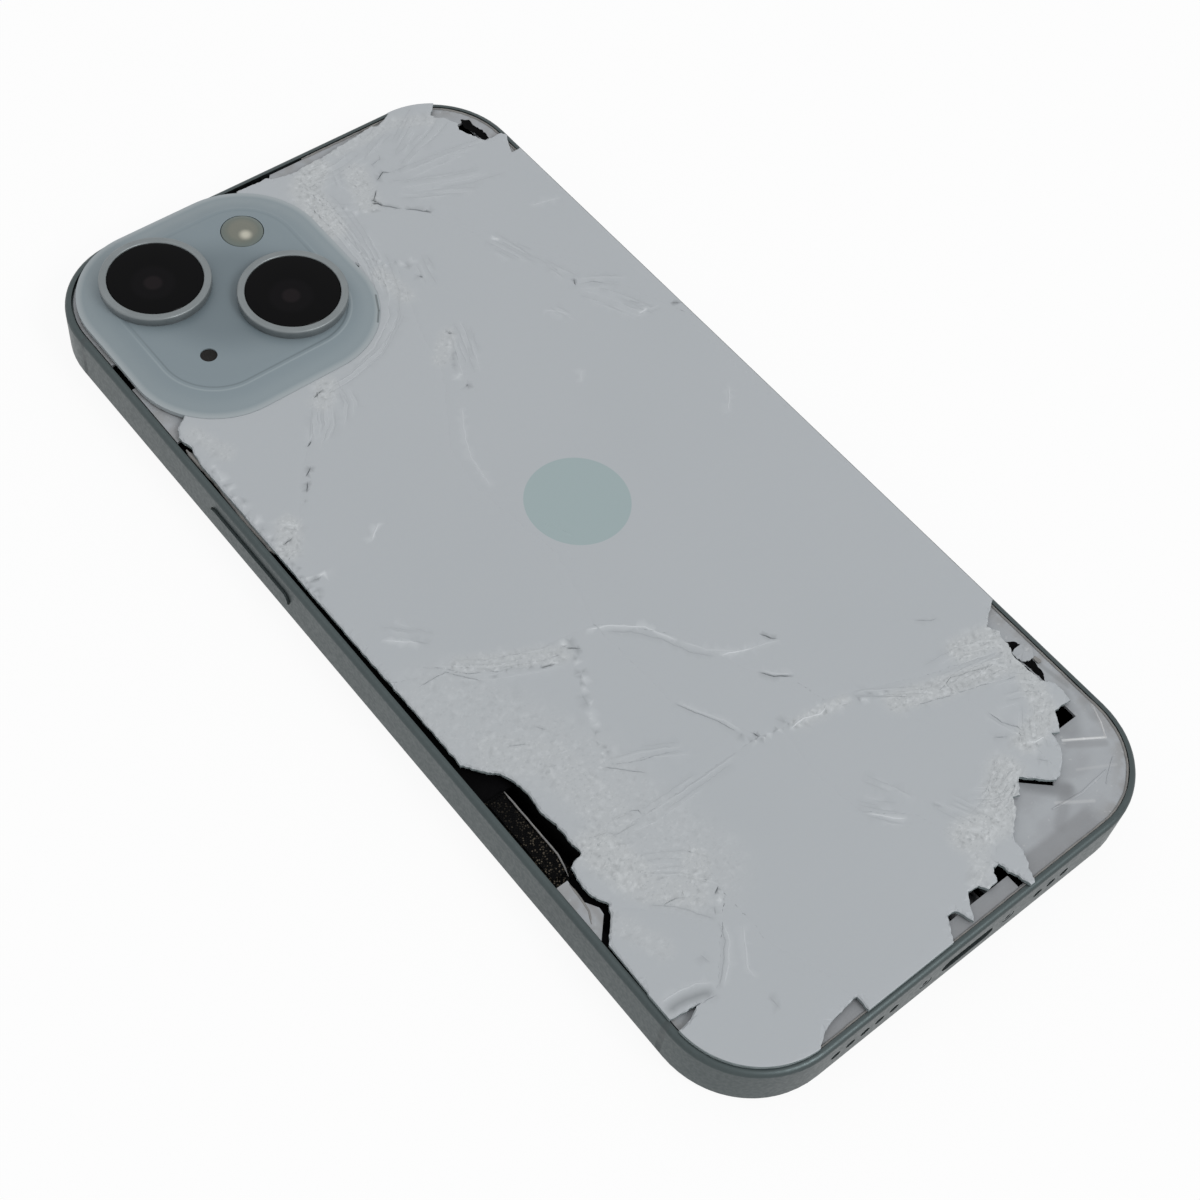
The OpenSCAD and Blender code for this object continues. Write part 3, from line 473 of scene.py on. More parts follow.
MATERIALS = {made.name.split(".")[0]: made for made in (
    frame_metal(),
    plain("antenna_plastic", (62, 69, 70), 0.5, specular=0.25),
    display_glass(),
    plain("dark_plastic", (12, 12, 13), 0.6, specular=0.15),
    plain("black_rubber", (7, 7, 8), 0.9, grain=2.5, depth=0.08, specular=0.04),
    backing_metal(),
    plain("bonding_film", (32, 32, 34), 0.6, grain=1.5, specular=0.1),
    woven_tape(),
    plateau_glass(),
    plain("ring_metal", (120, 126, 128), 0.42, 0.6, (128, 134, 136), grain=5, depth=0.002),
    lens_glass(),
    plain("module_metal", (62, 64, 67), 0.4, 0.8),
    flash_glass(),
    plain("led_phosphor", (226, 208, 130), 0.6, grain=8, depth=0.02),
    plain("flex_film", (92, 66, 26), 0.4),
    plain("card_plastic", (222, 218, 206), 0.5, other=(212, 208, 197)),
    plain("battery_film", (12, 12, 13), 0.55, patch=0.15, specular=0.15),
    plain("adhesive_strip", (210, 212, 208), 0.6, other=(200, 202, 199)),
    plain("board_laminate", (18, 52, 36), 0.45, patch=0.8),
    coil_copper(),
    plain("port_metal", (120, 122, 125), 0.32, 1.0),
    plain("screw_steel", (92, 97, 99), 0.45, 1.0, grain=7),
    rear_glass(),
    microphone_weave(),
    plain("gasket", (118, 118, 118), 0.8, 0.0, (140, 138, 134), grain=3, depth=0.03, patch=1.1),
    glass_edge(),
)}

for cad_node in frame["nodes"].values():
    for index, old in enumerate(cad_node.data.materials):
        cad_node.data.materials[index] = MATERIALS[old.name.split(".")[0]]


# ---------------------------------------------------------------- meshes
def placed(name, data):
    """An object for a mesh, a lamp or a camera, in the scene."""
    made = bpy.data.objects.new(name, data)
    bpy.context.scene.collection.objects.link(made)
    return made


def add_piece(name, points, faces, materials, slot, replaced=(), face_slots=None, sharp=30.0):
    """Makes a piece from points in millimetres. Edges that turn by more than sharp degrees stay crisp."""
    mesh = bpy.data.meshes.new(name)
    mesh.from_pydata((np.asarray(points, float) * MM).tolist(), [], faces)
    for material in materials:
        mesh.materials.append(MATERIALS[material])
    if face_slots is not None:
        mesh.polygons.foreach_set("material_index", face_slots)
    mesh.polygons.foreach_set("use_smooth", [True] * len(mesh.polygons))
    mesh.update()
    mesh.set_sharp_from_angle(angle=math.radians(sharp))
    piece = placed(name, mesh)
    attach(piece, BODY)
    if replaced:
        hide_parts(*replaced)
    return piece


def banded(rings):
    """Faces between neighbouring rings of points. A ring may be one point, repeated."""
    faces = []
    for low, high in zip(rings, rings[1:]):
        for i, j in loop_edges(0, len(low)):
            face = list(dict.fromkeys((low[i], low[j], high[j], high[i])))
            if len(face) > 2:
                faces.append(face)
    return faces


def loop_edges(start, count):
    """The edges of a closed loop of count points that are numbered from start."""
    return [(start + i, start + (i + 1) % count) for i in range(count)]


def closed(ring):
    return np.concatenate([ring, ring[:1]])


def triangles(points, edges, nearness):
    """Points and triangles of a flat area that is cut along the given edges."""
    made, _, cells, *_ = delaunay_2d_cdt([Vector(p) for p in points], edges, [], 0, nearness)
    return np.array([tuple(p) for p in made]), np.array(cells)


def lathe(profile, centre, steps=128):
    """Points and faces of a solid turned about an upright line. The profile is (radius, height) pairs."""
    points, rings = [], []
    for radius, height in profile:
        if radius == 0:
            rings.append([len(points)] * steps)
            points.append((centre[0], centre[1], height))
            continue
        rings.append(range(len(points), len(points) + steps))
        for angle in (2 * math.pi * i / steps for i in range(steps)):
            x, y = centre[0] + radius * math.cos(angle), centre[1] + radius * math.sin(angle)
            points.append((x, y, height))
    return points, banded(rings)


def rounded_outline(half, radius, centre, corner_steps, side_steps):
    """Points round a rounded rectangle, anticlockwise."""
    arcs = []
    for quarter, side in enumerate(((1, 1), (-1, 1), (-1, -1), (1, -1))):
        mid = (half - radius) * np.array(side)
        for i in range(corner_steps + 1):
            angle = math.pi / 2 * (quarter + i / corner_steps)
            arcs.append(mid + radius * np.array([math.cos(angle), math.sin(angle)]))
    ring = []
    for a, b in zip(arcs, arcs[1:] + arcs[:1]):
        steps = side_steps if np.linalg.norm(b - a) > 1.5 else 1
        ring += [a + (b - a) * i / steps for i in range(steps)]
    return np.array(ring) + centre


def outline_distance(points, half, radius, centre=(0, 0)):
    """Distance of points outside a rounded rectangle, negative inside."""
    q = np.abs(points - centre) - (np.asarray(half) - radius)
    return np.linalg.norm(np.maximum(q, 0), axis=1) + np.minimum(q.max(axis=1), 0) - radius


def inside(points, ring):
    """Which points lie inside a closed ring."""
    result = np.zeros(len(points), bool)
    x, y = points[:, 0], points[:, 1]
    for (ax, ay), (bx, by) in zip(ring, np.roll(ring, -1, axis=0)):
        if ay == by:
            continue
        crosses = ((ay > y) != (by > y)) & (x < (bx - ax) * (y - ay) / (by - ay) + ax)
        result ^= crosses
    return result


def line_distance(points, line):
    """Distance of points from an open line, their side of it, how far along it they are, and its length."""
    line = np.asarray(line, float)
    best = np.full(len(points), 1e9)
    side = np.ones(len(points))
    along = np.zeros(len(points))
    start = 0.0
    for a, b in zip(line, line[1:]):
        d = b - a
        length = np.hypot(*d)
        t = np.clip(((points - a) @ d) / length ** 2, 0, 1)
        gap = points - (a + t[:, None] * d)
        distance = np.hypot(gap[:, 0], gap[:, 1])
        nearer = distance < best
        best[nearer] = distance[nearer]
        side[nearer] = np.sign(d[0] * gap[nearer, 1] - d[1] * gap[nearer, 0])
        along[nearer] = start + t[nearer] * length
        start += length
    return best, side, along, start


# ---------------------------------------------------------------- how the glass is broken
def fade(value, low, high):
    t = np.clip((value - low) / (high - low), 0, 1)
    return t * t * (3 - 2 * t)


def wander(points, amount, seed):
    """Shifts points by a noise that depends only on where they are, so that neighbours stay together."""
    moved = []
    for (x, y), a in zip(points, np.broadcast_to(amount, len(points))):
        coarse = noise.noise_vector(Vector((x * 0.8, y * 0.8, seed)))
        fine = noise.noise_vector(Vector((x * 2.7, y * 2.7, seed + 7)))
        moved.append((x + a * (0.7 * coarse.x + 0.45 * fine.x), y + a * (0.7 * coarse.y + 0.45 * fine.y)))
    return np.array(moved)


def divide(line, step, closed=False):
    """The same line with points no further apart than step."""
    line = np.asarray(line, float)
    ends = np.roll(line, -1, axis=0) if closed else line[1:]
    made = []
    for a, b in zip(line, ends):
        count = max(1, math.ceil(np.hypot(*(b - a)) / step))
        made += [a + (b - a) * i / count for i in range(count)]
    if not closed:
        made.append(line[-1])
    return np.array(made)


# A crack's half width, its depth, how far the glass stands up or sinks on its left and right, how far that
# reaches, and how strong its painted shade in the groove and its painted highlight on raised lines are
CRACK_KINDS = {
    "open": (0.14, 0.35, 0.02, -0.02, 0.9, 0.9, 0.0),
    "dark": (0.10, 0.20, 0.02, -0.01, 0.8, 0.5, 0.0),
    "fine": (0.07, 0.08, 0.02, 0.0, 0.7, 0.25, 0.1),
    "step": (0.06, 0.05, 0.05, -0.02, 1.3, 0.15, 0.1),
    "drop": (0.06, 0.05, -0.02, 0.05, 1.3, 0.15, 0.1),
    "pale": (0.10, -0.05, 0.0, 0.0, 0.6, 0.0, 0.75),
    "ridge": (0.12, -0.035, 0.0, 0.0, 0.5, 0.0, 0.28),
    "rut": (0.10, 0.04, 0.0, 0.0, 0.5, 0.2, 0.0),
    "streak": (0.08, -0.018, 0.0, 0.0, 0.5, 0.0, 0.16),
    "scratch": (0.07, 0.018, 0.0, 0.0, 0.5, 0.12, 0.0),
    "chip": (0.13, -0.03, 0.0, 0.0, 0.3, 0.0, 0.45),
    "dent": (0.55, 0.006, 0.0, 0.0, 0.8, 0.45, 0.0),
    "pit": (0.12, 0.04, 0.0, 0.0, 0.3, 0.3, 0.0),
}
CRACKS = [
    # lower left
    ("rut", [(-28.2, -47.8), (-26.6, -49.2), (-25.4, -50.3), (-23.6, -53), (-22.9, -54.2)]),
    ("rut", [(-22.9, -54.2), (-23.9, -56.5), (-25.8, -58.4), (-28.3, -60.6)]),
    ("ridge", [(-22.6, -54.6), (-23.5, -56.9), (-25.5, -58.9), (-27.7, -60.7)]),
    ("fine", [(-27, -49), (-25, -49.2), (-24, -49.8)]),
    ("ridge", [(-34.8, -57.7), (-32.3, -57.9), (-30, -58.4), (-28, -59.6)]),
    ("dent", [(-34.9, -58.9), (-32, -59.2), (-28.6, -60.3)]),
    ("fine", [(-31.4, -60.4), (-28.6, -60.9)]),
    ("fine", [(-22.7, -53.5), (-22, -52.6)]),
    ("dark", [(-21, -51.6), (-20, -51)]),
    ("pale", [(-21.4, -52.8), (-20.7, -52)]),
    ("ridge", [(-20.9, -56.2), (-22.5, -58.5), (-24, -60.6), (-24.1, -62.2)]),
    ("rut", [(-24.4, -64.4), (-24.3, -66.5)]),
    ("rut", [(-27.3, -56), (-27, -57.5)]),
    # left, below the middle
    ("step", [(-30, -7.5), (-28, -9), (-26, -11.5), (-24, -12.5), (-22, -14)]),
    ("fine", [(-32, -9.5), (-28, -9.7), (-27, -11), (-25, -13.5)]),
    ("rut", [(-29.6, -3.2), (-28.2, -4.2), (-27, -5.6)]),
    ("dark", [(-18.5, -16), (-16.5, -16.6)]),
    ("dark", [(-14, -15.5), (-12.5, -16.8)]),
    ("pale", [(-14.3, -14.9), (-13.6, -15.3)]),
    ("pale", [(-10.5, -14.9), (-7.2, -16.4), (-4.1, -19), (-2, -23)]),
    ("rut", [(-8.5, -16.6), (-6, -18.4), (-3.6, -21.5), (-2, -25), (0.2, -27.4)]),
    ("ridge", [(-2, -23), (0, -26), (3.2, -28.7), (6.8, -29.7), (8.5, -30.5)]),
    ("fine", [(-21, -31), (-19, -33), (-17, -35)]),
    ("drop", [(-20, -31.5), (-17, -33), (-14, -34), (-12, -34.8)]),
    ("fine", [(-8.4, -29.3), (-7.1, -32), (-5.6, -34.6), (-4.7, -37.4)]),
    ("ridge", [(-7.9, -29.6), (-6.6, -32.2), (-5, -34.8), (-4.2, -37.4)]),
    ("dark", [(-3.3, -38.2), (-2.9, -39.3)]),
    ("rut", [(-28, -37.5), (-26, -38), (-25.3, -38.9), (-22, -39.2)]),
    ("fine", [(-22.3, -37.3), (-21.2, -38), (-21.2, -39)]),
    ("fine", [(-28.3, -22.2), (-26, -23.5)]),
    ("fine", [(-24, -22), (-23, -23.3)]),
    # middle and right
    ("pale", [(0.5, -27.5), (5, -29.3)]),
    ("dark", [(6.8, -28), (7.6, -29.4), (8.3, -30)]),
    ("dark", [(2.9, -32.1), (4.2, -33.8), (6.3, -35.3)]),
    ("ridge", [(3.4, -32.2), (4.8, -33.9), (6.6, -35)]),
    ("pale", [(0.5, -40.6), (3, -40.4), (5.3, -41.2), (7, -40.6)]),
    ("fine", [(8, -41.8), (9, -42.2)]),
    ("fine", [(24, -38), (26, -39.5), (27.2, -39.8)]),
    # lower right
    ("rut", [(10, -41.5), (12, -43), (14, -44.5), (16, -46)]),
    ("fine", [(19.5, -47.6), (22, -47), (25, -48), (28, -49)]),
    ("step", [(15, -47), (19, -48.5), (24, -50), (28, -51.5), (30, -52)]),
    ("fine", [(22.2, -53), (22.6, -55.4), (23.8, -57), (24, -58.3)]),
    ("fine", [(20, -56), (22, -57.5)]),
    ("pale", [(22.7, -59), (24, -59.8), (26, -60)]),
    ("fine", [(22.3, -61.5), (23.5, -62.8)]),
    ("pale", [(0.3, -54.3), (2.5, -56.8), (4, -58)]),
    ("rut", [(7.5, -58.1), (8.3, -59.4)]),
    # upper half
    ("dark", [(12.6, 60.6), (11, 59.1)]),
    ("dark", [(10.9, 59), (11.4, 57.6), (12.4, 56.5), (13.5, 55.5)]),
    ("dark", [(13.5, 55.5), (16.6, 52.6)]),
    ("open", [(15.6, 53.6), (16.3, 52.9)]),
    ("dark", [(13.4, 61.9), (15.3, 62.9), (16.4, 62.2)]),
    ("rut", [(17, 62), (19.2, 62.2)]),
    ("open", [(10.5, 58.9), (11.1, 58.4), (11.6, 57.6)]),
    ("open", [(10.8, 59.4), (11.3, 58.6)]),
    ("fine", [(14.8, 64.2), (15, 65), (16.5, 65.3), (16.9, 66.3)]),
    ("ridge", [(28.6, 45.9), (31, 45.3), (33.5, 44.6)]),
    ("pale", [(20.2, 43.8), (21.2, 43.1)]),
    ("ridge", [(8.8, 47.5), (8.5, 46)]),
    ("dark", [(7.6, 44), (8, 43.5)]),
    ("dark", [(-16.6, 34.2), (-15.8, 34.5), (-14.6, 34.8)]),
    ("dark", [(-21.9, 28), (-20.8, 28.6)]),
    ("dark", [(-24.8, 24.2), (-23.2, 25.2)]),
    ("dark", [(-26, 22), (-25, 23.5)]),
    ("fine", [(-27.3, 20.8), (-26.6, 21.3)]),
    ("pale", [(-31.6, 19.8), (-30.6, 19), (-29.9, 18)]),
    ("rut", [(-31.8, 19.2), (-30.9, 18.5), (-30.2, 17.6)]),
    ("dark", [(-33.2, 17), (-31.5, 17.3)]),
    ("open", [(-32.9, 10.5), (-32.5, 10.4)]),
    ("pale", [(-32.4, 10.5), (-31, 10.5)]),
    ("pale", [(-24, 11), (-22.6, 12.1), (-21.3, 13)]),
    ("ridge", [(-1.5, 22), (-4, 18), (-5.7, 14.5), (-6.5, 9)]),
    ("ridge", [(-5, 1.5), (-3.5, -1)]),
    ("pale", [(-3.5, -1), (-2.4, -3.2)]),
    ("pale", [(-31.5, -1.5), (-29.8, -3), (-28, -4.5)]),
    ("dark", [(4.7, 33.4), (5.2, 32.9)]),
    ("dark", [(1, 24.4), (1.6, 24.6)]),
    ("dark", [(24.6, 30.2), (25.2, 31.5)]),
    ("fine", [(25.3, 30.3), (27, 29.4), (28.5, 28)]),
    ("rut", [(28.8, 23.8), (30, 22.5)]),
    ("pale", [(28.5, 21), (30.2, 21.3)]),
    ("dark", [(33.4, 20.2), (34.8, 19.4)]),
    ("ridge", [(17.8, 29.3), (19.5, 28), (20.5, 26)]),
    ("ridge", [(27, 0.5), (30.5, 4.3)]),
    ("ridge", [(14, 16), (15.7, 18)]),
]
# Streaks that run side by side: a line, how many there are, and how far apart they run
STREAKS = [
    # round the camera
    ([(3, 69), (4, 62.5), (3.7, 57), (3.3, 51), (2.2, 46)], 5, 0.55),
    ([(5.2, 68), (6.1, 62), (5.4, 55.7), (3.8, 49), (1.8, 43.8), (-1.7, 39.7), (-6, 38), (-10.4, 37)],
     5, 0.7),
    ([(3.5, 45), (0.5, 39.8), (-5, 36.2), (-10.7, 34.8), (-15, 34.6)], 4, 0.55),
    ([(-12.3, 35), (-13.3, 31), (-16, 27.7)], 5, 0.5),
    ([(-15.4, 34), (-17.8, 29.7), (-21, 27.4)], 5, 0.5),
    ([(-17.5, 33), (-21, 28)], 3, 0.6),
    # fan from the point of impact
    ([(15, 61), (20.5, 60.5), (25, 60.2), (30.5, 59.5), (34, 59.5)], 3, 0.9),
    ([(14, 59.7), (19, 57.5), (24.7, 55.2), (30.3, 53.9)], 4, 0.8),
    ([(13, 58.4), (17, 56), (20.7, 54.3), (24.8, 52)], 3, 0.6),
    ([(17.7, 62.3), (22, 64), (26.6, 65.4), (29.4, 67)], 3, 0.9),
    ([(17, 63.4), (20.5, 66), (25, 68.8), (27.8, 70.4)], 4, 0.7),
    ([(13.4, 66.4), (17.2, 68.3), (21.6, 69.9)], 4, 0.7),
    ([(9, 58.5), (6, 60), (3.5, 64)], 4, 0.7),
    ([(1.8, 66.9), (6, 67), (10.8, 67), (16, 68)], 5, 0.8),
    ([(11, 61), (10, 64), (11.5, 68)], 4, 0.8),
    # right, above the middle
    ([(7, 36), (6, 32.5), (4.4, 28.5), (2.8, 24.8)], 6, 0.55),
    ([(10, 47), (9, 43.5), (8.3, 40)], 4, 0.6),
    ([(21, 42.5), (22, 40), (22.8, 37)], 3, 0.8),
    ([(23.5, 36.5), (24.5, 33), (25.2, 30.6)], 3, 0.6),
    ([(19.8, 44.3), (20.6, 42), (22.2, 37), (23.6, 33.7)], 5, 0.7),
    ([(24.4, 29), (26.8, 25.4), (28.6, 21.6), (31.2, 20.5)], 5, 0.7),
    ([(18.6, 29.1), (19.4, 27.4), (20.4, 25)], 3, 0.6),
    ([(24.8, 30.7), (28.6, 28.6), (31.5, 26)], 4, 0.6),
    ([(28.5, 24.5), (30.3, 20.7), (32, 20.5)], 3, 0.5),
    # left
    ([(-30.5, 0.5), (-28, -2.5), (-26, -5)], 3, 0.5),
    ([(-30, -8), (-28, -9.5), (-23.5, -12.9), (-17.4, -15.6), (-15.2, -16.2)], 6, 0.6),
    ([(-26, -38.4), (-20.4, -39.5), (-14, -39.4), (-5.3, -39.2)], 3, 0.9),
    ([(-21, -31), (-16, -32.5), (-11.5, -35), (-8.5, -36.8)], 3, 0.6),
    ([(-27, -44), (-22, -47), (-19, -51)], 5, 0.9),
    # lower right
    ([(-0.2, -53), (1.8, -55.3), (3.8, -57.3)], 6, 0.6),
    ([(2.5, -50), (4.5, -53.5), (6, -57)], 3, 0.8),
    ([(8.5, -41.8), (11.4, -42.5), (15, -44.7), (19.8, -47.5)], 3, 0.5),
    ([(19.6, -48.5), (24, -48.6), (28, -49.2), (30.4, -50)], 5, 0.6),
    ([(22, -53), (22.9, -55.5), (24, -58)], 3, 0.5),
    ([(20, -45.6), (25, -46.2), (30.5, -48)], 6, 0.8),
    ([(24, -51.6), (28, -53), (30.6, -55.4)], 6, 0.8),
    ([(27, -55.5), (24.6, -58), (22.6, -61)], 5, 0.7),
    ([(10, -63.6), (15, -62.8), (20, -60.4)], 6, 0.7),
    ([(8, -58), (9.5, -61), (11.2, -65)], 6, 0.6),
    ([(12, -60), (15, -62), (19, -61)], 5, 0.6),
]
# Rows of small chips and pits: a line, and how far apart they lie
CHIPS = [
    ([(-14.3, -18), (-15.8, -21.5), (-18, -26), (-19, -29), (-21, -31)], 0.6),
    ([(-4.5, -38.3), (-2, -39.5), (1.4, -39.8), (5.5, -40.4), (9.6, -41.9), (15, -44.3)], 0.55),
    ([(-4, -39), (-1, -40), (3, -40.7), (7, -41.2)], 1.0),
    ([(-28, -9), (-23.5, -12.9), (-17.4, -16), (-13, -15.3)], 0.9),
    ([(3, 56), (4, 50), (8, 46)], 0.8),
    ([(4, 66), (6, 60), (10, 57)], 0.9),
    ([(14, -46), (20, -48), (29, -49)], 0.7),
    ([(24, -60), (27, -57), (30, -55)], 0.8),
    ([(7, -64), (11, -65.5), (15, -62)], 0.7),
    ([(-33.6, 33), (-33.8, 20), (-33.8, 8)], 0.8),
    ([(5, 34), (2, 28), (1, 25)], 0.9),
]
# Crushed stretches: a line, how far they reach from it, and how strong they are
CRUSHED = [
    ([(-30, -22), (-25, -27), (-24, -37)], 4.5, 0.55),
    ([(-31, -13), (-27, -20), (-23, -30), (-22, -40), (-20, -48)], 8.0, 0.35),
    ([(-28, -39), (-27, -44)], 4.0, 0.9),
    ([(-27, -46), (-23, -50), (-20, -47)], 3.0, 0.7),
    ([(-33, -46), (-30, -53)], 2.0, 0.4),
    ([(3, 58), (4, 66), (8, 69)], 3.2, 0.9),
    ([(10, 59), (12, 65)], 2.6, 0.7),
    ([(3.5, 47), (4, 42)], 2.0, 0.6),
    ([(1, 30), (4.5, 33)], 1.8, 0.5),
    ([(-16, 33), (-14, 35)], 2.2, 0.7),
    ([(-31, 19), (-33, 16)], 2.4, 0.8),
    ([(-26, -10), (-15, -16)], 2.0, 0.6),
    ([(14, -45.5), (22, -48), (30, -50)], 2.2, 0.8),
    ([(26, -45), (31, -46), (31.5, -52)], 2.8, 0.9),
    ([(30, -53), (28, -58), (23, -59)], 2.4, 0.9),
    ([(8, -64), (13, -64.5), (18, -60.5)], 3.4, 0.9),
    ([(5, -69), (8, -66)], 2.0, 0.6),
    ([(2, -40.5), (9, -41.5)], 1.2, 0.6),
    ([(12, 70), (22, 70.5), (27, 68)], 1.8, 0.5),
    ([(-32.5, 38), (-31, 33)], 1.8, 0.5),
]
CELL = 0.9
FACET = 0.42
FACET_STRENGTH = 0.25
SCATTER = 0.42
FLAKE = 0.75
FLAKE_SCATTER = 0.45
FLAKE_TILT = 0.11
ROUGH_DEPTH = 0.010
STREAK_STEP = 0.9
STREAK_DRIFT = 0.7
STREAK_CUT = 0.55
CHIP_SCATTER, CHIP_HALF, CHIP_SHARE = 0.28, 0.17, 0.75
CRACK_STEP, CRACK_WANDER = 0.55, 0.16
# What each random draw or noise starts from
FLAKE_SEED, STREAK_SEED, CHIP_SEED, CRACK_SEED, RIM_SEED, SHARD_SEED = 11, 5, 6, 31, 3, 100


def crush_at(points):
    strength = np.zeros(len(points))
    for line, reach, amount in CRUSHED:
        near = line_distance(points, line)[0]
        strength = np.maximum(strength, amount * (1 - fade(near, reach * 0.35, reach)))
    return strength


def flake_centres():
    """A middle and a tilt for each small flake that crushed glass breaks into."""
    generator = np.random.default_rng(FLAKE_SEED)
    grid = np.stack(np.meshgrid(*(np.arange(-h, h, FLAKE) for h in PANE_HALF)), axis=-1).reshape(-1, 2)
    grid = grid + generator.uniform(-FLAKE_SCATTER, FLAKE_SCATTER, grid.shape) * FLAKE
    grid = grid[crush_at(grid) > 0]
    tree = kdtree.KDTree(len(grid))
    for index, (x, y) in enumerate(grid):
        tree.insert((x, y, 0), index)
    tree.balance()
    return tree, grid, generator.normal(0, FLAKE_TILT, grid.shape)


FLAKE_TREE, FLAKE_MIDDLES, FLAKE_TILTS = flake_centres()


def flakes(points):
    """Height of the tilted flakes at each point."""
    nearest = [FLAKE_TREE.find((x, y, 0))[1] for x, y in points]
    return ((points - FLAKE_MIDDLES[nearest]) * FLAKE_TILTS[nearest]).sum(axis=1)


def beside(line, offset):
    """The same line, moved sideways."""
    step = np.gradient(line, axis=0)
    normal = np.stack([-step[:, 1], step[:, 0]], axis=1) / np.hypot(step[:, 0], step[:, 1])[:, None]
    return line + normal * np.reshape(offset, (-1, 1))


def streak_lines():
    """Uneven streaks that run side by side and drift together or apart, raised and sunk by turns."""
    generator = np.random.default_rng(STREAK_SEED)
    for points, count, gap in STREAKS:
        base = divide(points, STREAK_STEP)
        for k in range(2 * count):
            offset = (k / 2 - (count - 1) / 2) * gap
            start, end = offset + generator.uniform(-STREAK_DRIFT, STREAK_DRIFT, 2) * gap
            line = beside(base, np.linspace(start, end, len(base)))
            first, last = (generator.uniform(0, STREAK_CUT, 2) * len(line)).astype(int)
            if len(line) - last - first > 2:
                yield ("streak", "scratch")[k % 2], line[first:len(line) - last]


def chip_lines():
    """Each chip or pit as a very short line, a little off its row."""
    generator = np.random.default_rng(CHIP_SEED)
    for points, gap in CHIPS:
        for place in divide(points, gap):
            centre = place + generator.normal(0, CHIP_SCATTER, 2)
            half = generator.normal(0, CHIP_HALF, 2)
            if generator.random() < CHIP_SHARE:
                yield ("chip", "pit")[int(generator.integers(2))], [centre - half, centre, centre + half]


def end_distance(count):
    """How many points away the nearer end of a line is, for each of its points."""
    return np.minimum(np.arange(count), np.arange(count)[::-1])


def crack_lines():
    """Each crack with its kind, its jagged line, and the same line shifted to both edges of its groove."""
    made = []
    for kind, points in [*CRACKS, *streak_lines(), *chip_lines()]:
        line = wander(divide(points, CRACK_STEP), CRACK_WANDER, CRACK_SEED)
        width = CRACK_KINDS[kind][0] * np.clip(end_distance(len(line)) / 2, 0.15, 1)
        made.append((kind, line, [beside(line, width), beside(line, -width)]))
    return made


CRACK_LINES = crack_lines()


def relief(points):
    """Height of the broken glass above its flat top, and the strength of its painted shade and painted
    highlight there.
    """
    height, dark, pale, carved = np.zeros((4, len(points)))
    for kind, line, _ in CRACK_LINES:
        half, depth, left, right, reach, shade, painted_highlight = CRACK_KINDS[kind]
        margin = 4 * reach
        box = (points > line.min(axis=0) - margin).all(axis=1)
        box &= (points < line.max(axis=0) + margin).all(axis=1)
        if not box.any():
            continue
        gap, side, along, length = line_distance(points[box], line)
        taper = fade(np.minimum(along, length - along), -0.1, min(1.2, 0.3 * length))
        groove = depth * (np.clip(1 - gap / half, 0, 1) * taper)
        height[box] += np.where(side > 0, left, right) * np.exp(-gap / reach) * taper
        carved[box] = np.where(np.abs(groove) > np.abs(carved[box]), groove, carved[box])
        # Painted shade along grooves and painted highlight along raised lines, strongest on the crack's
        # centre line
        near = np.clip(1.15 - gap / (half * 1.3), 0, 1) * taper
        dark[box] = np.maximum(dark[box], shade * near)
        pale[box] = np.maximum(pale[box], painted_highlight * near)
    return height - carved, dark, pale


def walk(following, start):
    """The points that follow one another from the start round to it again."""
    ring, here = [start], following[start]
    while here != start:
        ring.append(here)
        here = following[here]
    return ring


def top_ring(node):
    """The boundary of a CAD node's flat top face, in order."""
    mesh = frame["nodes"][node].data
    top = top_of(node)
    at = [(round(v.co.x / MM, 3), round(v.co.y / MM, 3)) for v in mesh.vertices]
    flat = [abs(v.co.z / MM - top) < 0.01 for v in mesh.vertices]
    edges = set()
    for face in mesh.polygons:
        if all(flat[v] for v in face.vertices):
            ring = [at[v] for v in face.vertices]
            edges |= set(zip(ring, ring[1:] + ring[:1]))
    following = {a: b for a, b in edges if (b, a) not in edges}
    return np.array(walk(following, min(following)))


TOP_RINGS = {name: top_ring(name) for name in SHARDS}
# A shard's outline: the gap to its neighbours, the step of its points, how near a CAD outline a point is
# moved onto it, how ragged a free edge is, the least width of its chipped edge and how much wider that can be
CRACK_GAP, RIM_STEP, RIM_SNAP, RIM_WANDER, CHIPPED, CHIPPED_MORE = 0.08, 0.4, 0.12, 0.3, 0.1, 0.16
# How near the outline the surface has no points of its own, and how far the worn edge reaches
RIM_CLEAR, WORN_REACH = 0.3, 0.22
# How deep the edge is worn beside a neighbour, on the pane's outline and where it is broken, and the most
# that a broken edge has on top of that
WORN_SHARD, WORN_OUTLINE, WORN_BROKEN, WORN_MORE = 0.02, 0.08, 0.12, 0.2


def inward_normals(ring):
    """Unit vectors into a closed anticlockwise ring, at each of its points."""
    step = np.roll(ring, -1, axis=0) - np.roll(ring, 1, axis=0)
    return np.stack([-step[:, 1], step[:, 0]], axis=1) / np.hypot(step[:, 0], step[:, 1])[:, None]


def snapped(points, half, radius, centre=(0, 0)):
    """Points that lie almost on a rounded rectangle, moved right onto it, and which of them did."""
    nudge = 0.001
    gap = outline_distance(points, half, radius, centre)
    slope = np.stack([outline_distance(points + shift, half, radius, centre) - gap
                      for shift in ((nudge, 0), (0, nudge))], axis=1) / nudge
    close = np.abs(gap) < RIM_SNAP
    moved = points.copy()
    moved[close] -= (gap[:, None] * slope)[close]
    return moved, close


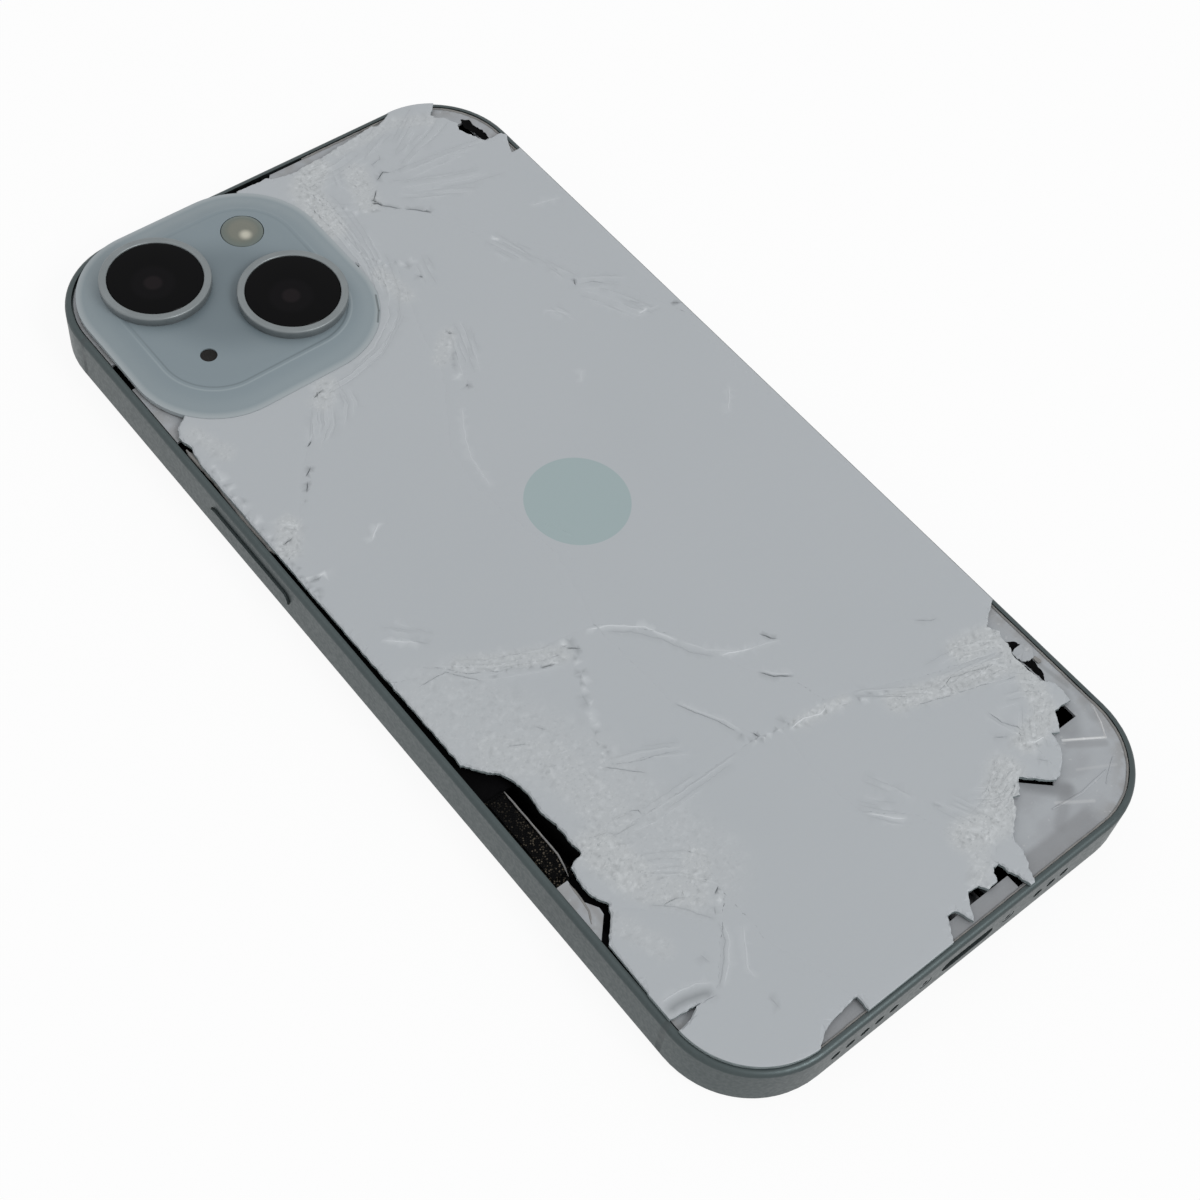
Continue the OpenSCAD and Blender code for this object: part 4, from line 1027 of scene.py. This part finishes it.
def scattered(ring, generator):
    """Points spread over the inside of a ring, closer together where the glass is crushed."""
    low, high = ring.min(axis=0), ring.max(axis=0)
    kept = []
    for spacing, least, most in ((CELL, 0.0, FACET_STRENGTH), (FACET, FACET_STRENGTH, 2.0)):
        steps = [np.arange(a, b, spacing) for a, b in zip(low, high)]
        grid = np.stack(np.meshgrid(*steps), axis=-1).reshape(-1, 2)
        grid = grid + generator.uniform(-SCATTER, SCATTER, grid.shape) * spacing
        strength = crush_at(grid)
        grid = grid[(strength >= least) & (strength < most)]
        kept.append(grid[inside(grid, ring)])
    return np.concatenate(kept)


def shard_outline(node):
    """A shard's jagged outline, and which points of it lie by a neighbour and which on a CAD outline."""
    outlines = ((PANE_HALF, PANE_R, (0, 0)), ((PLATEAU_HALF,) * 2, PLATEAU_R, PLATEAU_MID))
    ring, on_outline = divide(TOP_RINGS[node], RIM_STEP, closed=True), False
    for outline in outlines:
        ring, close = snapped(ring, *outline)
        on_outline = on_outline | close
    others = [closed(other) for name, other in TOP_RINGS.items() if name != node]
    at_shard = np.min([line_distance(ring, other)[0] for other in others], axis=0) < 2 * CRACK_GAP
    ring -= inward_normals(ring) * (at_shard * CRACK_GAP / 2)[:, None]
    calm = np.min([np.abs(outline_distance(ring, *outline)) for outline in outlines], axis=0)
    return wander(ring, RIM_WANDER * fade(calm, 0.05, 1.2), RIM_SEED), at_shard, on_outline


def shard_surface(ring, broken, generator):
    """Points and triangles of a shard's top face, cut along its cracks."""
    lines, edges = [ring], loop_edges(0, len(ring))
    chip = CHIPPED + CHIPPED_MORE * generator.random(len(ring)) * broken
    bevel = ring + inward_normals(ring) * chip[:, None]
    lines.append(bevel[inside(bevel, ring)])
    total = len(ring) + len(lines[-1])
    low, high = ring.min(axis=0), ring.max(axis=0)
    for _, centre, sides in CRACK_LINES:
        if (centre.max(axis=0) < low).any() or (centre.min(axis=0) > high).any():
            continue
        for line in (centre, *sides):
            used = np.flatnonzero(inside(line, ring)).tolist()
            place = {i: total + k for k, i in enumerate(used)}
            edges += [(place[i], place[i + 1]) for i in used if i + 1 in place]
            lines.append(line[used])
            total += len(used)
    inner = scattered(ring, generator)
    lines.append(inner[line_distance(inner, closed(ring))[0] > RIM_CLEAR])
    points, faces = triangles(np.concatenate(lines), edges, 1e-4)
    faces = faces[inside(points[faces].mean(axis=1), ring)]
    used, faces = np.unique(faces, return_inverse=True)
    points, faces = points[used], faces.reshape(-1, 3)
    corner = points[faces]
    turn = np.cross(corner[:, 1] - corner[:, 0], corner[:, 2] - corner[:, 0])
    faces[turn < 0] = faces[turn < 0][:, ::-1]
    return points, faces


def shard(node, index):
    """A piece of the rear glass: jagged borders, chipped edges, grooves and crushed facets."""
    generator = np.random.default_rng(SHARD_SEED + index)
    ring, at_shard, on_outline = shard_outline(node)
    broken = ~(at_shard | on_outline)
    points, faces = shard_surface(ring, broken, generator)

    height, dark, pale = relief(points)
    strength = crush_at(points)
    gap = line_distance(points, closed(ring))[0]
    worn = np.max([WORN_SHARD * at_shard, WORN_OUTLINE * on_outline, WORN_BROKEN * broken], axis=0)
    rim = gap < 0.25
    nearest = np.array([np.argmin(np.hypot(*(ring - p).T)) for p in points[rim]])
    chipped = np.zeros(len(points))
    if len(nearest):
        chipped[rim] = worn[nearest] + WORN_MORE * broken[nearest] * generator.random(len(nearest))
    rough = ROUGH_DEPTH * generator.uniform(-1, 1, len(points))
    rough[strength > 0] += flakes(points[strength > 0])
    height += strength * rough * np.minimum(1, gap / RIM_CLEAR)
    height -= chipped * np.clip(1 - gap / WORN_REACH, 0, 1)
    speck = generator.random(len(points))
    pale = np.maximum(pale, 0.4 * strength * (speck > 0.93))
    dark = np.maximum(dark, 0.25 * strength * (speck < 0.06))

    faces = faces.tolist()
    directed = dict.fromkeys(edge for a, b, c in faces for edge in ((a, b), (b, c), (c, a)))
    border = [(a, b) for a, b in directed if (b, a) not in directed]
    top = len(points)
    rim_points = sorted({a for a, _ in border})
    lower = {a: top + i for i, a in enumerate(rim_points)}
    solid = [(x, y, GLASS_TOP + h) for (x, y), h in zip(points, height)]
    solid += [(*points[a], GLASS_Z0) for a in rim_points]
    walls = [(b, a, lower[a], lower[b]) for a, b in border]
    under = tuple(lower[a] for a in reversed(walk(dict(border), border[0][0])))
    piece = add_piece(node.replace("glass", "shard"), solid, [*faces, *walls, under],
                      ("rear_glass", "glass_edge"), "rear_glass", [node],
                      [0] * len(faces) + [1] * len(walls) + [0], 5.0)
    marks = piece.data.attributes.new("marks", "FLOAT_COLOR", "POINT")
    colours = np.zeros((len(solid), 4), np.float32)
    colours[:top, 0], colours[:top, 1], colours[:top, 2], colours[:, 3] = dark, pale, strength, 1
    marks.data.foreach_set("color", colours.ravel())


for shard_index, shard_node in enumerate(SHARDS):
    shard(shard_node, shard_index)


# ---------------------------------------------------------------- what shows in the openings
ON_PLATE = PLATE_TOP - 0.1
TAPE_FOOT, TAPE_CREST = 6.85, 7.02
# A bead's section: how far across from its middle, and how far up
BEAD_SECTION = [(-1, 0), (-1, 0.45), (-0.55, 0.95), (0.1, 1), (0.6, 0.9), (1, 0.4), (1, 0)]
GASKET_INSET, GASKET_WIDTH = 1.08, 0.42
PLATE, FILM, RUBBER, GASKET = "backing_metal", "bonding_film", "black_rubber", "gasket"
# Creases in the backing plate, a pale bead standing in for the painted highlight on the tape's bent edge, the
# pale edge of the clip beside it, and the debris in the left gap: a path, how wide, from and up to which
# height, finish, slot and seed
CREST = PLATE_TOP + 0.07
TRIMS = {
    "crease_long": ([(27.4, -61.3), (29.8, -62.8), (32.3, -64.4)], 0.35, ON_PLATE, CREST, PLATE, PLATE, 30),
    "crease_short": ([(32.3, -64.4), (33.4, -62.6), (34.4, -60.2)], 0.3, ON_PLATE, CREST, PLATE, PLATE, 31),
    "crease_lower": ([(19.5, -67.3), (24, -67.9), (29, -67.6)], 0.4, ON_PLATE, CREST, PLATE, PLATE, 32),
    "crease_upper": ([(27.5, -68.9), (31, -66.8)], 0.35, ON_PLATE, CREST, PLATE, PLATE, 33),
    # Painted highlight: a pale bead on the tape's bent edge
    "tape_edge_highlight": ([(-31.75, -26.3), (-31.75, -31), (-31.75, -36.4), (-32.1, -38), (-32.5, -39.3)], 0.22,
                  TAPE_FOOT, TAPE_CREST, GASKET, "woven_tape", 41),
    "clip_edge": ([(-33.2, -40.3), (-33.3, -42.6), (-33.5, -44.2), (-34.3, -45.6)], 0.3, ON_PLATE,
                  PLATE_TOP + 0.08, GASKET, PLATE, 42),
    "debris_left": ([(-34.35, 37), (-34.1, 31), (-34.4, 24), (-34.3, 17)], 0.7, ON_PLATE, PLATE_TOP + 0.22,
                    GASKET, FILM, 40),
}
SCRAP_LOW = PLATE_TOP + 0.02
SCRAP_SEED = 51
# Torn scraps at the lower right, and black sheets of painted shade that stand in for the shade in openings at
# the lower right and in the top right corner: an outline, the height it lies at, its thickness, how far it
# rises along its length, finish, slot and how crumpled it is
SCRAPS = {
    # Painted shade: a black sheet over the torn hole
    "torn_hole_shade": ([(32.1, -47.2), (33.2, -47.8), (33.4, -49), (33, -50.4), (32.9, -51.8), (32.6, -53.2),
                   (32, -54.4), (31.9, -52.6), (31.9, -50)], SCRAP_LOW, 0.05, 0.0, RUBBER, RUBBER, 0.05),
    "film_scrap_a": ([(31.4, -48.9), (32.6, -48.6), (33.6, -48.7), (34, -49.5), (33.7, -50.4), (33.1, -51),
                      (32, -51), (31.3, -50)], SCRAP_LOW + 0.14, 0.2, 0.12, PLATE, PLATE, 0.3),
    "film_scrap_b": ([(33, -50.6), (33.6, -51), (33.7, -52.2), (33.1, -52)], SCRAP_LOW, 0.12, 0.1,
                     GASKET, FILM, 0.2),
    # Painted shade: a black sheet over the opening in the top right corner
    "corner_hole_shade": ([(31.9, 66.3), (32.8, 65.2), (32.8, 64), (33.1, 62.6), (32.9, 60.7), (32.2, 60.8),
                     (31.7, 62.9), (31.2, 64.4)], SCRAP_LOW, 0.04, 0.0, RUBBER, RUBBER, 0.05),
}


def bead(name, path, width, low, high, material, slot, seed):
    """A soft bead of uneven width that is laid along a path, with closed ends."""
    path = divide(path, 0.5)
    path = path * 0.3 + wander(path, 0.25 * width, seed) * 0.7
    half = width / 2 * np.clip(end_distance(len(path)) / 2, 0.3, 1)
    points, rings = [], []
    for share_across, share_up in BEAD_SECTION:
        line = beside(path, share_across * half)
        rings.append(range(len(points), len(points) + len(line)))
        points += [(x, y, low + share_up * (high - low)) for x, y in line]
    faces = []
    for left, right in zip(rings, rings[1:] + rings[:1]):
        faces += [(left[i], right[i], right[i + 1], left[i + 1]) for i in range(len(path) - 1)]
    faces += [tuple(ring[0] for ring in reversed(rings)), tuple(ring[-1] for ring in rings)]
    add_piece(name, points, faces, (material,), slot, sharp=60.0)


def edge_beads():
    """The torn bead of gasket between the backing plate and the frame, where the glass is gone."""
    ring = rounded_outline(FRAME_HIGH[:2] - GASKET_INSET, CORNER_R - GASKET_INSET, (0, 0), 16, 12)
    across, along = ring[:, 0], ring[:, 1]
    top = ring[(along > 40) & (across > 4)]
    top = top[np.argsort(np.arctan2(top[:, 1], top[:, 0] - 10))[::-1]]
    bottom = ring[(along < 10) & ((across > 30) | (along < -60)) & (across > -26)]
    bottom = bottom[np.argsort(np.arctan2(bottom[:, 1] + 40, bottom[:, 0]))]
    for name, path, seed in (("gasket_top", top, 21), ("gasket_bottom", bottom, 22)):
        bead(name, path, GASKET_WIDTH, PLATE_TOP - 0.4, PLATE_TOP + 0.18, GASKET, FILM, seed)


def scrap(name, outline, low, thickness, lift, material, slot, crumpled):
    """A torn scrap: a thin sheet with a ragged outline that rises by lift along its length."""
    outline = wander(divide(outline, 0.25, closed=True), 0.35, SCRAP_SEED)
    count = len(outline)
    centre = outline.mean(axis=0)
    ring = np.concatenate([outline, (outline + centre) / 2, [centre]])
    along = ring[:, 1] - ring[:, 1].min()
    crumple = np.array([crumpled * noise.noise(Vector((x * 2, y * 2, 5))) for x, y in ring])
    rise = lift * along / along.max() + np.abs(crumple)
    points = [(x, y, low + h + extra) for extra in (0, thickness) for (x, y), h in zip(ring, rise)]
    total, faces = len(ring), []
    for i, j in loop_edges(0, count):
        for start, flip in ((0, True), (total, False)):
            quad = [start + i, start + j, start + count + j, start + count + i]
            fan = [start + count + i, start + count + j, start + 2 * count]
            faces += [quad[::-1], fan[::-1]] if flip else [quad, fan]
        faces.append([total + j, total + i, i, j])
    add_piece(name, points, faces, (material,), slot, sharp=40.0)


edge_beads()
for trim_name, trim in TRIMS.items():
    bead(trim_name, *trim)
for scrap_name, torn in SCRAPS.items():
    scrap(scrap_name, *torn)


# ---------------------------------------------------------------- the camera
# How far in from the plateau's foot each ring of its surface lies, and its height as a share of the rise
PLATEAU_SLOPE = [(0, -0.62), (0, -0.02), (0.3, 0.02), (0.8, 0.09), (1.4, 0.23), (2.0, 0.42), (2.6, 0.61),
                 (3.2, 0.77), (3.6, 0.87), (3.85, 0.94), (4.05, 0.96), (4.25, 0.94), (4.5, 0.935),
                 (4.75, 0.965), (5.0, 0.99), (5.3, 1.0)]
HOLE_GAP = 0.1
# The plateau's flat top has points of its own this far in from its foot, and this far from a hole
FLAT_INSET, FLAT_STEP, HOLE_CLEAR = 5.9, 1.5, 0.6
FLASH_RISE, FLASH_STEPS = 0.3, 12


def circle(centre, radius, steps=96):
    angles = np.arange(steps) * 2 * math.pi / steps
    return np.stack([np.cos(angles), np.sin(angles)], axis=1) * radius + centre


def camera_plateau():
    """The raised glass with its sloping shoulder, and holes for the lenses, the flash and the microphone."""
    points, rings = [], []
    for inset, share in PLATEAU_SLOPE:
        ring = rounded_outline(PLATEAU_HALF - inset, PLATEAU_R - inset * 0.9, PLATEAU_MID, 24, 12)
        rings.append(range(len(points), len(points) + len(ring)))
        points += [(x, y, GLASS_TOP + (PLATEAU_TOP - GLASS_TOP) * share) for x, y in ring]
    faces = banded(rings)
    outer = np.array([points[i][:2] for i in rings[-1]])
    wide = [(place, COVER_R) for place in LENSES.values()] + [(FLASH_PLACE, FLASH_R)]
    holes = [circle(place, radius + HOLE_GAP) for place, radius in wide] + [circle(MIC_PLACE, MIC_R, 32)]
    flat, edges, total = [outer], loop_edges(0, len(outer)), len(outer)
    for hole in holes:
        edges += loop_edges(total, len(hole))
        flat.append(hole)
        total += len(hole)
    steps = np.arange(-15, 15, FLAT_STEP)
    grid = np.stack(np.meshgrid(steps, steps), -1).reshape(-1, 2) + PLATEAU_MID
    grid = grid[outline_distance(grid, (PLATEAU_HALF - FLAT_INSET,) * 2, PLATEAU_R - PLATEAU_SLOPE[-1][0],
                                 PLATEAU_MID) < 0]
    for centre, radius in [(place, radius + HOLE_CLEAR) for place, radius in wide] + [(MIC_PLACE, 1.2)]:
        grid = grid[np.hypot(*(grid - centre).T) > radius]
    made, cells = triangles(np.concatenate([*flat, grid]), edges, 1e-5)
    centres = made[cells].mean(axis=1)
    keep = inside(centres, outer)
    for hole in holes:
        keep &= ~inside(centres, hole)
    index = [*rings[-1], *range(len(points), len(points) + len(made) - len(outer))]
    points += [(x, y, PLATEAU_TOP) for x, y in made[len(outer):]]
    faces += [tuple(index[i] for i in cell) for cell in cells[keep].tolist()]
    start = len(outer)
    for hole in holes:
        top = index[start:start + len(hole)]
        low = range(len(points), len(points) + len(hole))
        points += [(x, y, GLASS_Z0) for x, y in hole]
        faces += [(top[j], top[i], low[i], low[j]) for i, j in loop_edges(0, len(hole))]
        start += len(hole)
    add_piece("camera_plateau_glass", points, faces, ("plateau_glass",), "plateau_glass", ["camera_plateau"],
              sharp=35.0)


def turned(name, profile, place, material, slot, steps, sharp, replaced=()):
    """A piece that is turned about an upright line."""
    points, faces = lathe(profile, place, steps)
    add_piece(name, points, faces, (material,), slot, replaced, sharp=sharp)


def lens_ring(name, place):
    """A flat topped ring with soft edges, standing on a narrow foot."""
    r, top, inner = RING_R, RING_TOP, COVER_R + 0.05
    foot = PLATEAU_TOP
    profile = [(inner, foot - 0.6), (inner, top - 0.16), (inner + 0.06, top - 0.05), (inner + 0.18, top),
               (r - 0.3, top), (r - 0.14, top - 0.04), (r - 0.04, top - 0.14), (r, top - 0.3),
               (r, foot + 0.3), (r - 0.06, foot + 0.22), (r - 0.14, foot + 0.2), (r - 0.14, foot - 0.02),
               (inner, foot - 0.6)]
    turned("ring_" + name, profile, place, "ring_metal", "ring_metal", 128, 50.0, ["lens_ring_" + name])


def lens_cover(name, place):
    """A black cover glass that is very slightly domed. The lens inside it shows only as a painted reflection
    in the cover's colour.
    """
    r, top = COVER_R, COVER_TOP
    profile = [(0, top - 0.5), (r, top - 0.5), (r, top - 0.1), (r - 0.1, top - 0.02), (r - 0.25, top),
               (r * 0.5, top + 0.01), (0, top + 0.012)]
    turned("cover_" + name, profile, place, "lens_glass", "lens_glass", 128, 30.0, ["lens_cover_" + name])


def flash_dome():
    """A low clear dome that stands a little above the plateau."""
    foot = PLATEAU_TOP - 0.05
    profile = [(0, GLASS_TOP - 0.1), (FLASH_R, GLASS_TOP - 0.1), (FLASH_R, foot)]
    for i in range(1, FLASH_STEPS):
        angle = math.pi / 2 * i / FLASH_STEPS
        profile.append((FLASH_R * math.cos(angle), foot + FLASH_RISE * math.sin(angle)))
    profile.append((0, foot + FLASH_RISE))
    turned("flash_dome", profile, FLASH_PLACE, "flash_glass", "flash_glass", 96, 50.0, ["flash_lens"])


def microphone_mesh():
    """A dished disc that fills the microphone's hole. Its weave is in the material."""
    r, top = MIC_R, PLATEAU_TOP
    profile = [(0, GLASS_Z0), (r, GLASS_Z0), (r, top - 0.2), (r - 0.3, top - 0.34), (0.3, top - 0.42),
               (0, top - 0.42)]
    turned("microphone_mesh", profile, MIC_PLACE, "microphone_mesh", "dark_plastic", 48, 40.0)


microphone_mesh()
camera_plateau()
for lens_side, lens_place in LENSES.items():
    lens_ring(lens_side, lens_place)
    lens_cover(lens_side, lens_place)
flash_dome()


# ---------------------------------------------------------------- stage, light and view
def stage():
    """A pale floor that takes a shadow, looks nearly white to the camera, and is clear from below."""
    floor = Finish("floor", (226, 226, 227), 0.9, specular=0.1)
    floor.tint(floor.noise(0.004, 2), (230, 230, 231), 0.5)
    rays = floor.node("ShaderNodeLightPath").outputs
    seen = floor.maths("MAXIMUM", rays["Is Camera Ray"], rays["Is Glossy Ray"])
    glow = floor.node("ShaderNodeEmission", Color=WHITE, Strength=1.0).outputs[0]
    lit = floor.mixed(floor.maths("MULTIPLY", seen, FLOOR_GLOW), floor.shader.outputs[0], glow)
    behind = floor.node("ShaderNodeNewGeometry").outputs["Backfacing"]
    clear = floor.node("ShaderNodeBsdfTransparent").outputs[0]
    floor.join(floor.mixed(behind, lit, clear), floor.tree.nodes["Material Output"].inputs["Surface"])
    mesh = bpy.data.meshes.new("floor")
    corners = [(x * FLOOR_HALF, y * FLOOR_HALF, FLOOR_Z) for x, y in ((-1, -1), (1, -1), (1, 1), (-1, 1))]
    mesh.from_pydata(corners, [], [(0, 1, 2, 3)])
    mesh.materials.append(floor.material)
    placed("floor", mesh)


def world():
    """An even sky that lights the object less than it shows: plain white to the camera and in reflections."""
    made = bpy.data.worlds.new("studio")
    made.use_nodes = True
    bpy.context.scene.world = made
    sky = Nodes(made.node_tree)
    dim = sky.tree.nodes["Background"]
    dim.inputs["Color"].default_value = WHITE
    dim.inputs["Strength"].default_value = WORLD_LIGHT
    white = sky.node("ShaderNodeBackground", Color=WHITE)
    rays = sky.node("ShaderNodeLightPath").outputs
    seen = sky.maths("MAXIMUM", rays["Is Camera Ray"], rays["Is Transmission Ray"])
    seen = sky.maths("MAXIMUM", seen, rays["Is Glossy Ray"])
    mix = sky.mixed(seen, dim.outputs[0], white.outputs[0])
    sky.join(mix, sky.tree.nodes["World Output"].inputs["Surface"])


def soft_light(name, place, size, power):
    """A square lamp that is aimed at the middle of the floor."""
    lamp = bpy.data.lights.new(name, "AREA")
    lamp.shape = "RECTANGLE"
    lamp.size = lamp.size_y = size
    lamp.energy = power
    made = placed(name, lamp)
    made.location = place
    made.rotation_mode = "QUATERNION"
    made.rotation_quaternion = (-Vector(place)).to_track_quat("-Z", "Y")


def view():
    azimuth, elevation = math.radians(VIEW_AZIMUTH), math.radians(VIEW_ELEVATION)
    back = Vector((math.sin(azimuth) * math.cos(elevation), -math.cos(azimuth) * math.cos(elevation),
                   math.sin(elevation)))
    lens = bpy.data.cameras.new("view")
    lens.lens = VIEW_LENS
    lens.sensor_width = VIEW_SENSOR
    lens.clip_start = VIEW_NEAR
    made = placed("view", lens)
    made.rotation_mode = "QUATERNION"
    roll = Matrix.Rotation(math.radians(VIEW_ROLL), 3, "Z")
    made.rotation_quaternion = ((-back).to_track_quat("-Z", "Y").to_matrix() @ roll).to_quaternion()
    made.location = Vector(VIEW_AIM) * MM + back * VIEW_DISTANCE * MM
    bpy.context.scene.camera = made


stage()
world()
soft_light("key", (0.5, -1.9, 1.9), 0.9, 26.0)
soft_light("fill", (-0.6, 1.2, 2.4), 1.6, 2.5)
view()
bpy.context.scene.view_settings.view_transform = "Standard"
